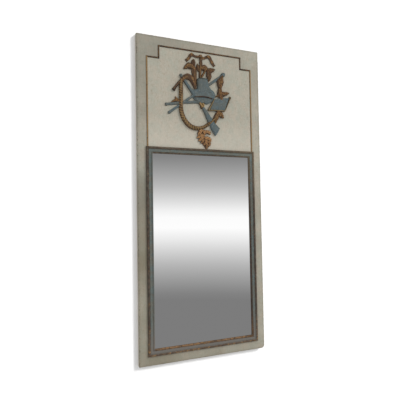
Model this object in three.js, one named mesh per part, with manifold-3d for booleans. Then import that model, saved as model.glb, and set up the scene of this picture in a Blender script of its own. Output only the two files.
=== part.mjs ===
// A painted trumeau mirror: a tall flush board of stiles, rails and a grooved upper panel, a mirror
// held behind a mitred moulding, stepped gilt fillets, and a carved hunting trophy on the panel.
// Millimetres. X runs to the viewer's right, Y into the wall, Z up. The back of the board is Y = 0.
// Heights are taken from the bottom edge; the whole group is then lowered so that the origin lies
// in the middle of the middle rail's back, where the mirror bears on the wall.

import * as THREE from 'three';
import { mergeVertices } from 'three/addons/utils/BufferGeometryUtils.js';
import Module from 'manifold-3d';

const wasm = await Module();
wasm.setup();

// ---------------------------------------------------------------- Sizes

const gap = 0.3; // between neighbouring pieces

// The board
const boardWidth = 600;
const boardThickness = 20;
const stileWidth = 60;
const bottomRailHeight = 61.5;
const mirrorOpeningHeight = 839;
const middleRailHeight = 60;
const panelOpeningHeight = 390.5;
const topRailHeight = 60;
const topRailThickness = 13; // thinner than the stiles, so the hangers lie inside the back
const wornCornerRadius = 15;

// The joints of the board
const tongueThickness = 5.4;
const tongueSetback = 3.8; // from the front face to the tongue
const tongueDepth = 8; // of the panel's tongue into its groove
const tenonLength = 40;
const tenonShoulder = 10; // above and below each tenon
const pegDiameter = 7;
const pegLength = 15;
const pegSides = 16;

// The mirror and what holds it
const lipOverhang = 6; // of the moulding over the opening
const glassThickness = 4;
const glassPlay = 1; // at the sides of the glass
const backingThickness = 4;
const stripWidth = 10;
const stripThickness = 8;

// The mirror moulding, from the sight edge outwards
const innerBeadWidth = 6.5;
const innerBeadHeight = 5;
const coveWidth = 12;
const coveHeight = 6;
const outerBeadWidth = 11;
const outerBeadHeight = 9.5;
const mouldingEdgeHeight = 4.5;

// The gilt fillet
const filletWidth = 7;
const filletHeight = 3.5;
const filletSideMargin = 45; // from the board's side to the fillet's centre
const filletTopMargin = 42;
const notchSize = 54;

// The trophy
const trophyFootClearance = 2; // above the mirror moulding
const trophyHeadClearance = 8; // under the gilt fillet

// The hangers
const hangerSideMargin = 120; // from the board's side to the hanger's middle
const hangerDrop = 8; // from the top of the hanger plate to the board's top
const plateWidth = 13;
const plateLength = 42;
const plateThickness = 2.4;
const ringWire = 3;
const ringWidth = 25;
const ringLength = 24;
const ringCornerRadius = 4;
const ringPlay = 0.25; // round the wire, inside the knuckle
const knuckleWall = 1.2;
const screwSpacing = 24;
const screwHeadDiameter = 7;
const screwHeadHeight = 2;
const screwShankDiameter = 3.8;
const screwShankLength = 9;
const screwSlotWidth = 0.9;
const screwSlotDepth = 0.8;
const screwEndMargin = 8; // from the plate's top to the upper screw

// ---------------------------------------------------------------- What follows from them

const side = boardWidth / 2;
const opening = side - stileWidth; // half the opening between the stiles
const front = -boardThickness;
const middleRailBottom = bottomRailHeight + mirrorOpeningHeight;
const middleRailTop = middleRailBottom + middleRailHeight;
const topRailBottom = middleRailTop + panelOpeningHeight;
const boardHeight = topRailBottom + topRailHeight;

const tongueFront = front + tongueSetback;
const tongueBack = tongueFront + tongueThickness;
const topRailBack = front + topRailThickness;

const sightHalf = opening - lipOverhang;
const sightBottom = bottomRailHeight + lipOverhang;
const sightTop = middleRailBottom - lipOverhang;
const mouldingWidth = innerBeadWidth + coveWidth + outerBeadWidth;
const mouldingTop = sightTop + mouldingWidth;

const filletX = side - filletSideMargin;
const filletTop = boardHeight - filletTopMargin;

const wire = ringWire / 2;
const knuckleBore = wire + ringPlay;
const knuckleRadius = knuckleBore + knuckleWall;
const barHeight = boardHeight - hangerDrop - plateLength; // of the ring's bar, from the bottom edge
const barBack = topRailBack + knuckleRadius;
const hangerX = side - hangerSideMargin;
const hangerPlaces = [[-hangerX, barHeight], [hangerX, barHeight]];
const screwHeights = [plateLength - screwEndMargin - screwSpacing, plateLength - screwEndMargin];
const screwHoleDepth = screwShankLength - plateThickness + gap;

// ---------------------------------------------------------------- Materials

const finish = (color, roughness, metalness = 0) =>
  new THREE.MeshStandardMaterial({ color, roughness, metalness });

const creamPaint = finish(0xa3a08c, 0.75);
const giltWood = finish(0x87602f, 0.5, 0.35);
const bluePaint = finish(0x66757a, 0.75);
const bareWood = finish(0x8a6f50, 0.8);
const silveredGlass = finish(0xd8dcdc, 0.05, 1);
const steel = finish(0x9a9a98, 0.4, 0.9);

// ---------------------------------------------------------------- Solids

// A box between two corners, with every corner number kept as it is given.
function box(low, high) {
  const geometry = new THREE.BoxGeometry(1, 1, 1);
  const at = geometry.attributes.position;
  for (let i = 0; i < at.count; i += 1) {
    const corner = [at.getX(i), at.getY(i), at.getZ(i)];
    at.setXYZ(i, ...corner.map((value, axis) => (value < 0 ? low[axis] : high[axis])));
  }
  return geometry;
}

function inOrder(a, b) {
  return a < b ? [a, b] : [b, a];
}

// A rod along Y, from the plane y to y + length.
function rodAlongY(x, y, z, radius, length, sides = pegSides) {
  const geometry = new THREE.CylinderGeometry(radius, radius, length, sides);
  return geometry.translate(x, y + length / 2, z);
}

function solid(geometry) {
  geometry.deleteAttribute('normal');
  geometry.deleteAttribute('uv');
  const merged = mergeVertices(geometry);
  return new wasm.Manifold(
    new wasm.Mesh({
      numProp: 3,
      vertProperties: merged.attributes.position.array,
      triVerts: merged.index.array,
    }),
  );
}

function geometryOf(body) {
  const { vertProperties, triVerts } = body.getMesh();
  const geometry = new THREE.BufferGeometry();
  geometry.setAttribute('position', new THREE.BufferAttribute(vertProperties, 3));
  geometry.setIndex(new THREE.BufferAttribute(triVerts, 1));
  geometry.computeVertexNormals();
  return geometry;
}

// One piece with others cut out of it.
function cut(geometry, ...tools) {
  const body = tools.reduce((rest, tool) => rest.subtract(solid(tool)), solid(geometry));
  return geometryOf(body);
}

// A closed skin over rings of points. Each ring repeats the same section, which also caps the ends.
function loft(rings, section, looped = false) {
  const size = section.length;
  const index = [];
  const clockwise = THREE.ShapeUtils.isClockWise(section);
  const face = (a, b, c) => (clockwise ? index.push(a, c, b) : index.push(a, b, c));
  const spans = looped ? rings.length : rings.length - 1;
  for (let ring = 0; ring < spans; ring += 1) {
    const here = ring * size;
    const there = ((ring + 1) % rings.length) * size;
    for (let k = 0; k < size; k += 1) {
      const next = (k + 1) % size;
      face(here + k, here + next, there + next);
      face(here + k, there + next, there + k);
    }
  }
  if (!looped) {
    const last = (rings.length - 1) * size;
    for (const corners of THREE.ShapeUtils.triangulateShape(section, [])) {
      const turned = THREE.ShapeUtils.isClockWise(corners.map((k) => section[k])) !== clockwise;
      const [a, b, c] = turned ? corners.toReversed() : corners;
      face(c, b, a);
      face(last + a, last + b, last + c);
    }
  }
  const geometry = new THREE.BufferGeometry();
  const points = rings.flat().flatMap((point) => [point.x, point.y, point.z]);
  geometry.setAttribute('position', new THREE.Float32BufferAttribute(points, 3));
  geometry.setIndex(index);
  geometry.computeVertexNormals();
  return geometry;
}

// A straight strip along X with its back on Y = 0. The profile gives the distance across, along Z,
// and the height towards the viewer. A slope of 1 or -1 mitres that end.
function strip(profile, length, startSlope, endSlope) {
  const section = profile.map(([across, height]) => new THREE.Vector2(across, height));
  const ring = (start, slope) =>
    section.map(({ x, y }) => new THREE.Vector3(start + slope * x, -y, x));
  return loft([ring(gap / 2, startSlope), ring(length - gap / 2, endSlope)], section);
}

// Points of a round from angle a to angle b, in degrees, about (across, height).
function round(across, height, halfWidth, rise, a, b, steps) {
  return Array.from({ length: steps + 1 }, (_, i) => {
    const angle = THREE.MathUtils.degToRad(a + ((b - a) * i) / steps);
    return [across + halfWidth * Math.cos(angle), height + rise * Math.sin(angle)];
  });
}

function piece(name, geometry, material, x = 0, y = 0, z = 0) {
  const mesh = new THREE.Mesh(geometry, material);
  mesh.name = name;
  mesh.position.set(x, y, z);
  return mesh;
}

// ---------------------------------------------------------------- The board

const rails = [
  { name: 'bottom_rail', bottom: 0, top: bottomRailHeight, back: 0 },
  { name: 'middle_rail', bottom: middleRailBottom, top: middleRailTop, back: 0 },
  { name: 'top_rail', bottom: topRailBottom, top: boardHeight, back: topRailBack },
];

function pegAt(hand, rail) {
  const x = hand * (opening + tenonLength / 2);
  return [x, -pegLength, (rail.bottom + rail.top) / 2];
}

// The stile's face seen from the front, with its bottom corner worn round on the right one.
function stileBlank(hand) {
  const shape = new THREE.Shape();
  shape.moveTo(hand * opening, 0);
  if (hand > 0) {
    shape.lineTo(side - wornCornerRadius, 0);
    shape.absarc(side - wornCornerRadius, wornCornerRadius, wornCornerRadius, -Math.PI / 2, 0);
  } else {
    shape.lineTo(-side, 0);
  }
  shape.lineTo(hand * side, boardHeight);
  shape.lineTo(hand * opening, boardHeight);
  const options = { depth: boardThickness, bevelEnabled: false, curveSegments: 8 };
  const geometry = new THREE.ExtrudeGeometry(shape, options);
  const at = geometry.attributes.position;
  for (let i = 0; i < at.count; i += 1) {
    at.setXYZ(i, at.getX(i), at.getZ(i) > 0 ? front : 0, at.getY(i));
  }
  return geometry;
}

function stile(hand) {
  const reach = (depth) => inOrder(hand * (opening - gap), hand * (opening + depth + gap));
  const [mortiseFrom, mortiseTo] = reach(tenonLength);
  const [grooveFrom, grooveTo] = reach(tongueDepth);
  const mortises = rails.map(({ bottom, top }) =>
    box(
      [mortiseFrom, tongueFront - gap, bottom + tenonShoulder - gap],
      [mortiseTo, tongueBack + gap, top - tenonShoulder + gap],
    ),
  );
  const groove = box(
    [grooveFrom, tongueFront - gap, middleRailTop - tongueDepth - gap],
    [grooveTo, tongueBack + gap, topRailBottom + tongueDepth + gap],
  );
  const pegHoles = rails.map((rail) => {
    const [x, y, z] = pegAt(hand, rail);
    return rodAlongY(x, y - gap, z, pegDiameter / 2 + gap, pegLength + 2 * gap);
  });
  return cut(stileBlank(hand), ...mortises, groove, ...pegHoles);
}

function rail({ bottom, top, back }, groove) {
  const shoulder = opening - gap;
  const tenonEnd = opening + tenonLength;
  const body = solid(box([-shoulder, front, bottom], [shoulder, back, top]));
  const tenons = box(
    [-tenonEnd, tongueFront, bottom + tenonShoulder],
    [tenonEnd, tongueBack, top - tenonShoulder],
  );
  const pegHoles = [-1, 1].map((hand) => {
    const [x, y, z] = pegAt(hand, { bottom, top });
    return rodAlongY(x, y - gap, z, pegDiameter / 2 + gap, pegLength + 2 * gap);
  });
  return cut(geometryOf(body.add(solid(tenons))), ...pegHoles, ...groove);
}

// A groove along a rail's edge, for the panel's tongue.
function railGroove(edge, inward) {
  const [low, high] = inOrder(edge - inward * gap, edge + inward * (tongueDepth + gap));
  return box([-opening, tongueFront - gap, low], [opening, tongueBack + gap, high]);
}

function upperPanel() {
  const field = box(
    [-(opening - gap), front, middleRailTop + gap],
    [opening - gap, tongueBack, topRailBottom - gap],
  );
  const tongue = box(
    [-(opening + tongueDepth), tongueFront, middleRailTop - tongueDepth],
    [opening + tongueDepth, tongueBack, topRailBottom + tongueDepth],
  );
  return geometryOf(solid(field).add(solid(tongue)));
}

function board() {
  const group = new THREE.Group();
  const [bottomRail, middleRail, topRail] = rails;
  const screwHoles = hangerPlaces.flatMap(([x, z]) =>
    screwHeights.map((height) => rodAlongY(
      x,
      topRailBack - screwHoleDepth,
      z + height,
      screwShankDiameter / 2 + gap,
      screwHoleDepth + gap,
    )),
  );
  const topCuts = [railGroove(topRailBottom, 1), ...screwHoles];
  group.add(
    piece('left_stile', stile(-1), creamPaint),
    piece('right_stile', stile(1), creamPaint),
    piece('bottom_rail', rail(bottomRail, []), creamPaint),
    piece('middle_rail', rail(middleRail, [railGroove(middleRailTop, -1)]), creamPaint),
    piece('top_rail', rail(topRail, topCuts), creamPaint),
    piece('upper_panel', upperPanel(), creamPaint),
  );
  for (const row of rails) {
    for (const [label, hand] of [['left', -1], ['right', 1]]) {
      const [x, , z] = pegAt(hand, row);
      const peg = new THREE.CylinderGeometry(pegDiameter / 2, pegDiameter / 2, pegLength, pegSides);
      const name = `${row.name.replace('_rail', '')}_${label}_peg`;
      group.add(piece(name, peg, bareWood, x, -pegLength / 2, z));
    }
  }
  return group;
}

// ---------------------------------------------------------------- The mirror and its moulding

// From the sight edge: a low bead at the glass, a cove, and a high bead outside.
function mouldingProfile() {
  const coveStart = innerBeadWidth;
  const coveEnd = coveStart + coveWidth;
  const beadRise = innerBeadHeight / 2;
  const coveDrop = coveHeight / 5;
  return [
    [0, 0],
    [0, beadRise],
    ...round(innerBeadWidth / 2, beadRise, innerBeadWidth / 2, beadRise, 150, 30, 4),
    [coveStart, beadRise],
    [coveStart + coveWidth / 3, coveHeight - coveDrop],
    [coveStart + (2 * coveWidth) / 3, coveHeight - coveDrop / 2],
    [coveEnd, coveHeight],
    ...round(
      coveEnd + outerBeadWidth / 2,
      mouldingEdgeHeight,
      outerBeadWidth / 2,
      outerBeadHeight - mouldingEdgeHeight,
      150,
      0,
      5,
    ),
    [mouldingWidth, 0],
  ];
}

function moulding() {
  const group = new THREE.Group();
  group.position.y = front;
  const profile = mouldingProfile();
  const sightHeight = sightTop - sightBottom;
  const middle = (sightTop + sightBottom) / 2;
  const sides = [
    { name: 'moulding_top', length: 2 * sightHalf, turn: 0, x: 0, z: sightTop },
    { name: 'moulding_right', length: sightHeight, turn: Math.PI / 2, x: sightHalf, z: middle },
    { name: 'moulding_bottom', length: 2 * sightHalf, turn: Math.PI, x: 0, z: sightBottom },
    { name: 'moulding_left', length: sightHeight, turn: -Math.PI / 2, x: -sightHalf, z: middle },
  ];
  for (const { name, length, turn, x, z } of sides) {
    const geometry = strip(profile, length, -1, 1).translate(-length / 2, 0, 0);
    const mesh = piece(name, geometry, bluePaint, x, 0, z);
    mesh.rotation.y = turn;
    group.add(mesh);
  }
  return group;
}

function glazing() {
  const group = new THREE.Group();
  const glassFront = front + gap;
  const glassBack = glassFront + glassThickness;
  const backingFront = glassBack + gap;
  const backingBack = backingFront + backingThickness;
  const stripFront = backingBack + gap;
  const stripBack = stripFront + stripThickness;
  const low = bottomRailHeight + gap;
  const high = middleRailBottom - glassPlay;
  const half = opening - glassPlay;
  const glass = box([-half, glassFront, low], [half, glassBack, high]);
  const backing = box([-half, backingFront, low], [half, backingBack, high]);
  group.add(
    piece('mirror_glass', glass, silveredGlass),
    piece('backing_board', backing, bareWood),
  );
  const inner = opening - gap;
  const top = middleRailBottom - gap;
  const strips = [
    ['bottom_strip', [-inner, low], [inner, low + stripWidth]],
    ['top_strip', [-inner, top - stripWidth], [inner, top]],
    ['left_strip', [-inner, low + stripWidth + gap], [-inner + stripWidth, top - stripWidth - gap]],
    ['right_strip', [inner - stripWidth, low + stripWidth + gap], [inner, top - stripWidth - gap]],
  ];
  for (const [name, [x0, z0], [x1, z1]] of strips) {
    group.add(piece(name, box([x0, stripFront, z0], [x1, stripBack, z1]), bareWood));
  }
  return group;
}

// ---------------------------------------------------------------- The gilt fillet

// A half-round bead that runs up each side, steps in at both top corners and crosses the top.
function fillet() {
  const group = new THREE.Group();
  group.position.y = front;
  const half = filletWidth / 2;
  const profile = [[-half, 0], ...round(0, 0, half, filletHeight, 165, 15, 6), [half, 0]];
  const inner = filletX - notchSize;
  const step = filletTop - notchSize;
  const foot = mouldingTop + gap;
  const corners = [
    [-filletX, foot],
    [-filletX, step],
    [-inner, step],
    [-inner, filletTop],
    [inner, filletTop],
    [inner, step],
    [filletX, step],
    [filletX, foot],
  ];
  const names = [
    'fillet_left_run',
    'fillet_left_step',
    'fillet_left_drop',
    'fillet_top',
    'fillet_right_drop',
    'fillet_right_step',
    'fillet_right_run',
  ];
  const directions = names.map((_, i) => {
    const [[x0, z0], [x1, z1]] = [corners[i], corners[i + 1]];
    return new THREE.Vector2(x1 - x0, z1 - z0);
  });
  names.forEach((name, i) => {
    const here = directions[i];
    const turnIn = i === 0 ? 0 : Math.sign(directions[i - 1].cross(here));
    const turnOut = i === names.length - 1 ? 0 : Math.sign(here.cross(directions[i + 1]));
    const geometry = strip(profile, here.length(), turnIn, -turnOut);
    const mesh = piece(name, geometry, giltWood, corners[i][0], 0, corners[i][1]);
    mesh.rotation.y = -here.angle();
    group.add(mesh);
  });
  return group;
}

// ---------------------------------------------------------------- The carved trophy

const domedSection = [
  [-1, 0],
  [-1, 0.35],
  [-0.72, 0.78],
  [-0.25, 1],
  [0.25, 1],
  [0.72, 0.78],
  [1, 0.35],
  [1, 0],
].map(([across, height]) => new THREE.Vector2(across, height));
const stationsPerSpan = 3;

// A carved member that follows a line: each point is [x, z, width, height]. It stands on the face
// plane, or on the height given as base, and the allowance makes the same member fatter all round.
function carved({ line, base = 0, straight = false }, allowance = 0) {
  const places = line.map(([x, z]) => new THREE.Vector3(x, z, 0));
  const sizes = line.map(([, , width, height]) => new THREE.Vector3(width, height, 0));
  const path = new THREE.CatmullRomCurve3(places, false, 'centripetal');
  const girth = new THREE.CatmullRomCurve3(sizes, false, 'centripetal');
  const steps = straight ? 1 : (line.length - 1) * stationsPerSpan;
  const rings = Array.from({ length: steps + 1 }, (_, i) => {
    const t = i / steps;
    const ahead = path.getTangent(t);
    const across = new THREE.Vector3(-ahead.y, ahead.x, 0);
    const size = girth.getPoint(t);
    const half = (size.x * trophyScale) / 2 + allowance;
    const crest = size.y * trophyScale + allowance;
    const end = i === 0 ? -allowance : i === steps ? allowance : 0;
    const centre = path.getPoint(t).multiplyScalar(trophyScale).addScaledVector(ahead, end);
    const floor = base > 0 ? base * trophyScale - allowance : 0;
    return domedSection.map(({ x, y }) => {
      const point = centre.clone().addScaledVector(across, half * x);
      return new THREE.Vector3(point.x, -(floor + (crest - floor) * y), point.y);
    });
  });
  return solid(loft(rings, domedSection));
}

// A carved member with a drawn outline, flat on top with a sloping edge.
function plate({ outline, height, bevel }, allowance = 0) {
  const points = outline.map(([x, z]) => new THREE.Vector2(x, z).multiplyScalar(trophyScale));
  const centre = points.reduce((sum, point) => sum.add(point), new THREE.Vector2());
  centre.divideScalar(points.length);
  const grow = (amount) => points.map((point) => {
    const out = point.clone().sub(centre);
    return point.clone().addScaledVector(out.normalize(), amount);
  });
  const section = grow(allowance);
  const slope = bevel * trophyScale;
  const top = height * trophyScale;
  const layers = [
    [allowance, 0],
    [allowance, top - slope],
    [allowance - slope, top + allowance],
  ];
  const rings = layers.map(([amount, rise]) =>
    grow(amount).map(({ x, y }) => new THREE.Vector3(x, -rise, y)));
  return solid(loft(rings, section));
}

// The drawing is in millimetres from the centreline and from the tip of the foliage drop. It goes
// from the lowest layer of the relief to the highest. A member is hollowed over each one before it.
const trophy = [
  {
    name: 'short_staff',
    material: bluePaint,
    members: [{ line: [[-174, 185, 10, 5], [-100, 199, 11, 5], [-22, 206, 11, 5]] }],
  },
  {
    name: 'long_staff',
    material: bluePaint,
    members: [
      { line: [[-160, 149, 9, 7], [-40, 238.5, 9, 7], [112, 352, 10, 7]] },
      { line: [[106, 348, 13, 8], [112, 353, 17, 9], [117, 357, 12, 8]] },
    ],
  },
  {
    name: 'musket_barrel',
    material: bluePaint,
    members: [
      { line: [[-101, 330, 11, 9], [-97, 325, 14, 9], [-92, 318, 11, 9]] },
      { line: [[-94, 321, 11, 9], [-56, 267, 12, 9], [-16, 210, 13, 9]] },
    ],
  },
  {
    name: 'musket_lock',
    material: giltWood,
    members: [{ line: [[-16, 210, 14, 9], [-5, 194, 15, 10], [5, 180, 15, 9]] }],
  },
  {
    name: 'musket_stock',
    material: bluePaint,
    members: [
      { line: [[6.5, 178, 14, 9], [17, 162, 16, 9], [29, 143, 20, 9], [50, 113, 27, 9]] },
      {
        outline: [[38, 113], [50, 124], [61, 120], [86, 97], [77, 79], [65, 63], [56, 73], [44, 93]],
        height: 10,
        bevel: 2,
      },
    ],
  },
  {
    name: 'ribbon_left',
    material: giltWood,
    members: [
      { line: [[-10, 420, 9, 6], [-25, 421, 11, 7], [-41, 425, 10, 8]] },
      { line: [[-37, 427, 9, 8], [-48, 417, 12, 8], [-57, 405, 12, 7], [-72, 395, 10, 5]] },
    ],
  },
  {
    name: 'ribbon_right',
    material: giltWood,
    members: [
      { line: [[6, 418, 9, 6], [20, 420, 11, 7], [37, 424, 12, 8]] },
      { line: [[33, 425, 9, 8], [45, 420, 11, 8], [51, 409, 11, 7], [66, 389, 10, 5]] },
    ],
  },
  {
    name: 'bow_knot',
    material: giltWood,
    members: [
      { line: [[-13, 421, 9, 8], [-3, 421, 15, 11], [7, 420, 10, 8]] },
      { line: [[-3, 417, 10, 6], [-3, 400, 11, 6], [-3, 384, 11, 6]] },
    ],
  },
  {
    name: 'leaf_spray_left',
    material: giltWood,
    members: [
      { line: [[-32, 366, 14, 7], [-47, 374, 23, 10], [-65, 371, 18, 9], [-81, 359, 3, 4]] },
      { line: [[-35, 368, 9, 7], [-38, 385, 11, 8], [-37, 396, 10, 7], [-31, 406, 2, 4]] },
      { line: [[-36, 373, 17, 8], [-34, 348, 14, 8], [-31, 315, 11, 7]] },
    ],
  },
  {
    name: 'leaf_spray_centre',
    material: giltWood,
    members: [
      { line: [[-21, 382, 4, 5], [-8, 374, 20, 9], [8, 374, 24, 10], [27, 376, 5, 6]] },
      { line: [[-6, 378, 16, 9], [-7, 350, 12, 8], [-7, 325, 9, 7]] },
      { line: [[20, 368, 11, 8], [9, 346, 8, 8], [-1, 327, 7, 7]] },
    ],
  },
  {
    name: 'leaf_spray_right',
    material: giltWood,
    members: [
      { line: [[24, 366, 8, 7], [37, 364, 17, 10], [51, 365, 16, 9], [67, 371, 3, 5]] },
      { line: [[34, 362, 12, 7], [38, 345, 21, 10], [40, 332, 20, 9], [31, 314, 5, 5]] },
    ],
  },
  {
    name: 'horn_leaf',
    material: giltWood,
    members: [
      { line: [[-106, 209, 8, 7], [-122, 211, 10, 8], [-145, 201, 2, 4]] },
      { line: [[-118, 210, 9, 7], [-122, 220, 7, 7], [-124, 228, 2, 4]] },
    ],
  },
  {
    name: 'horn_coil_left',
    material: giltWood,
    members: [
      {
        line: [
          [-100, 304, 13, 12],
          [-101, 270, 14, 12],
          [-101, 220, 15, 12],
          [-101, 180, 15, 12],
          [-97, 150, 16, 12],
          [-88, 130, 18, 12],
        ],
      },
    ],
  },
  {
    name: 'horn_coil_base',
    material: giltWood,
    members: [
      {
        line: [
          [-88, 130, 18, 12],
          [-75, 112, 19, 12],
          [-56, 98, 19, 12],
          [-34, 91, 18, 12],
          [-12, 90, 16, 12],
          [8, 96, 15, 12],
          [27, 110, 15, 12],
          [44, 124, 13, 12],
          [62, 140, 12, 12],
          [75, 158, 11, 11],
        ],
      },
    ],
  },
  {
    name: 'horn_crest',
    material: giltWood,
    members: [
      {
        line: [
          [-98, 299, 14, 13],
          [-84, 317, 20, 13],
          [-64, 325, 23, 14],
          [-46, 318, 22, 14],
          [-34, 299, 17, 13],
          [-29, 280, 10, 12],
          [-28, 266, 4, 10],
        ],
      },
    ],
  },
  {
    name: 'horn_mouthpipe',
    material: giltWood,
    members: [
      { line: [[-103, 298, 11, 12], [-113, 284, 12, 11], [-126, 269, 12, 11], [-137, 255, 14, 11]] },
    ],
  },
  {
    name: 'hat',
    material: bluePaint,
    members: [
      {
        outline: [
          [-44, 262],
          [-28, 266],
          [-12, 272],
          [36, 274],
          [50, 270],
          [61, 260],
          [64, 248],
          [60, 234],
          [48, 222],
          [30, 214],
          [0, 212],
          [-28, 213],
          [-38, 222],
          [-44, 236],
          [-47, 250],
        ],
        height: 11,
        bevel: 4,
      },
      { line: [[8, 316, 46, 15], [8, 300, 44, 16], [9, 280, 42, 16], [10, 262, 46, 12]] },
    ],
  },
  {
    name: 'hat_band',
    material: giltWood,
    members: [
      {
        line: [[-37, 234, 4, 12], [-16, 236, 5, 13], [10, 238, 6, 13], [34, 238, 5, 13], [54, 234, 4, 12]],
        base: 9,
      },
    ],
  },
  {
    name: 'game_bag',
    material: bluePaint,
    members: [{ outline: [[62, 231], [134, 242], [108, 185], [44, 184]], height: 9, bevel: 3 }],
  },
  {
    name: 'bag_edging',
    material: giltWood,
    members: [
      { line: [[60, 234, 7, 10], [46, 207, 7, 10], [32, 178, 7, 10]], straight: true },
      { line: [[29, 179, 7, 10], [70, 180, 8, 10], [115, 180, 7, 10]], straight: true },
      { line: [[112, 178, 7, 10], [128, 212, 7, 10], [144, 246, 8, 10]], straight: true },
      { line: [[142, 243, 11, 10], [144, 248, 13, 11], [146, 252, 9, 9]] },
    ],
  },
  {
    name: 'leaf_spray_low',
    material: giltWood,
    members: [
      { line: [[82, 174, 16, 9], [95, 164, 24, 11], [107, 153, 6, 6]] },
      { line: [[84, 173, 12, 9], [76, 153, 20, 11], [70, 134, 15, 9], [67, 118, 3, 5]] },
    ],
  },
  {
    name: 'leaf_spray_tall',
    material: giltWood,
    members: [
      { line: [[93, 241, 14, 9], [92, 262, 25, 12], [93, 282, 20, 11], [94, 296, 20, 11]] },
      { line: [[94, 290, 18, 10], [94, 306, 27, 12], [98, 328, 20, 12], [103, 350, 3, 10]] },
      { line: [[98, 262, 20, 10], [116, 263, 19, 11], [138, 268, 4, 6]] },
      { line: [[88, 260, 13, 8], [78, 251, 8, 7], [69, 242, 2, 4]] },
    ],
  },
  {
    name: 'foliage_drop',
    material: giltWood,
    members: [
      { line: [[1, 84, 12, 8], [-1, 62, 32, 12], [4, 42, 34, 12], [16, 20, 32, 11], [18, 0, 3, 4]] },
      { line: [[8, 72, 14, 9], [26, 72, 16, 10], [38, 75, 5, 6]] },
      { line: [[16, 42, 20, 9], [31, 42, 16, 10], [41, 39, 5, 6]] },
      { line: [[-8, 60, 18, 9], [-18, 54, 12, 8], [-24, 46, 3, 4]] },
    ],
  },
];

const drawnTop = Math.max(
  ...trophy
    .flatMap(({ members }) => members)
    .flatMap(({ line, outline }) => line ?? outline)
    .map(([, z, width = 0]) => z + width / 2),
);
const trophyFoot = mouldingTop + trophyFootClearance;
const trophyHeight = filletTop - filletWidth / 2 - trophyHeadClearance - trophyFoot;
const trophyScale = trophyHeight / drawnTop;

function carvedTrophy() {
  const group = new THREE.Group();
  group.position.set(0, front, trophyFoot);
  const build = (member, allowance) =>
    (member.line ? carved(member, allowance) : plate(member, allowance));
  const join = (bodies) => bodies.reduce((sum, body) => sum.add(body));
  const below = [];
  for (const { name, material, members } of trophy) {
    let body = join(members.map((member) => build(member, 0)));
    for (const lower of below) {
      body = body.subtract(lower);
    }
    below.push(join(members.map((member) => build(member, gap))));
    group.add(piece(name, geometryOf(body), material));
  }
  return group;
}

// ---------------------------------------------------------------- The hangers

const ringSides = 10;
const ringArcSteps = 5;
const knuckleSides = 16;
const screwSides = 14;

// The strap with the knuckle that holds the ring's bar, about the bar's axis.
function hangerPlate() {
  const back = -knuckleRadius;
  const halfWidth = plateWidth / 2;
  const knuckle = new THREE.CylinderGeometry(knuckleRadius, knuckleRadius, plateWidth, knuckleSides);
  const strap = box([-halfWidth, back, 0], [halfWidth, back + plateThickness, plateLength]);
  const bore = new THREE.CylinderGeometry(knuckleBore, knuckleBore, plateWidth + 2, knuckleSides);
  const body = solid(knuckle.rotateZ(Math.PI / 2)).add(solid(strap));
  const holes = screwHeights.map((height) =>
    rodAlongY(0, back - 1, height, screwShankDiameter / 2 + gap, plateThickness + 2));
  return cut(geometryOf(body), bore.rotateZ(Math.PI / 2), ...holes);
}

// A D of round wire: a straight bar in the knuckle, two short sides and a round bow below.
function hangerRing() {
  const half = ringWidth / 2;
  const corner = ringCornerRadius;
  const bow = -(ringLength - half);
  const shape = new THREE.Path();
  shape.moveTo(-half + corner, 0);
  shape.lineTo(half - corner, 0);
  shape.absarc(half - corner, -corner, corner, Math.PI / 2, 0, true);
  shape.lineTo(half, bow);
  shape.absarc(0, bow, half, 0, -Math.PI, true);
  shape.lineTo(-half, -corner);
  shape.absarc(-half + corner, -corner, corner, Math.PI, Math.PI / 2, true);
  const points = shape.getPoints(ringArcSteps);
  const line = points.filter((point, i) => point.distanceTo(points.at(i - 1)) > ringWire / 30);
  const section = Array.from({ length: ringSides }, (_, i) => {
    const angle = (-i / ringSides) * 2 * Math.PI;
    return new THREE.Vector2(Math.cos(angle), Math.sin(angle)).multiplyScalar(wire);
  });
  const rings = line.map((point, i) => {
    const before = line.at(i - 1);
    const after = line[(i + 1) % line.length];
    const inward = point.clone().sub(before).normalize();
    const outward = after.clone().sub(point).normalize();
    const ahead = inward.clone().add(outward).normalize();
    const mitre = 1 / ahead.dot(outward);
    const across = new THREE.Vector2(-ahead.y, ahead.x).multiplyScalar(mitre);
    return section.map(({ x, y }) =>
      new THREE.Vector3(point.x + across.x * x, -y, point.y + across.y * x));
  });
  return loft(rings, section, true);
}

// A pan-head wood screw along Y: its head stands on Y = 0 and its shank goes into the wood.
function screw() {
  const head = screwHeadDiameter / 2;
  const shank = screwShankDiameter / 2;
  const profile = [
    [0, -screwShankLength],
    [shank * 0.25, -screwShankLength],
    [shank, -screwShankLength + 2 * shank],
    [shank, 0],
    [head, 0],
    [head, screwHeadHeight * 0.45],
    [head * 0.8, screwHeadHeight * 0.85],
    [head * 0.45, screwHeadHeight],
    [0, screwHeadHeight],
  ].map(([radius, height]) => new THREE.Vector2(radius, height));
  const slot = box(
    [-head - 1, screwHeadHeight - screwSlotDepth, -screwSlotWidth / 2],
    [head + 1, screwHeadHeight + 1, screwSlotWidth / 2],
  );
  return cut(new THREE.LatheGeometry(profile, screwSides), slot);
}

function hangers() {
  const group = new THREE.Group();
  const labels = ['left', 'right'];
  hangerPlaces.forEach(([x, z], i) => {
    const hanger = new THREE.Group();
    hanger.position.set(x, barBack, z);
    hanger.add(
      piece(`${labels[i]}_hanger_plate`, hangerPlate(), steel),
      piece(`${labels[i]}_hanger_ring`, hangerRing(), steel),
    );
    screwHeights.forEach((height, row) => {
      const name = `${labels[i]}_hanger_screw_${row + 1}`;
      const seat = -knuckleRadius + plateThickness + gap;
      hanger.add(piece(name, screw(), steel, 0, seat, height));
    });
    group.add(hanger);
  });
  return group;
}

// ---------------------------------------------------------------- The whole

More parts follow.
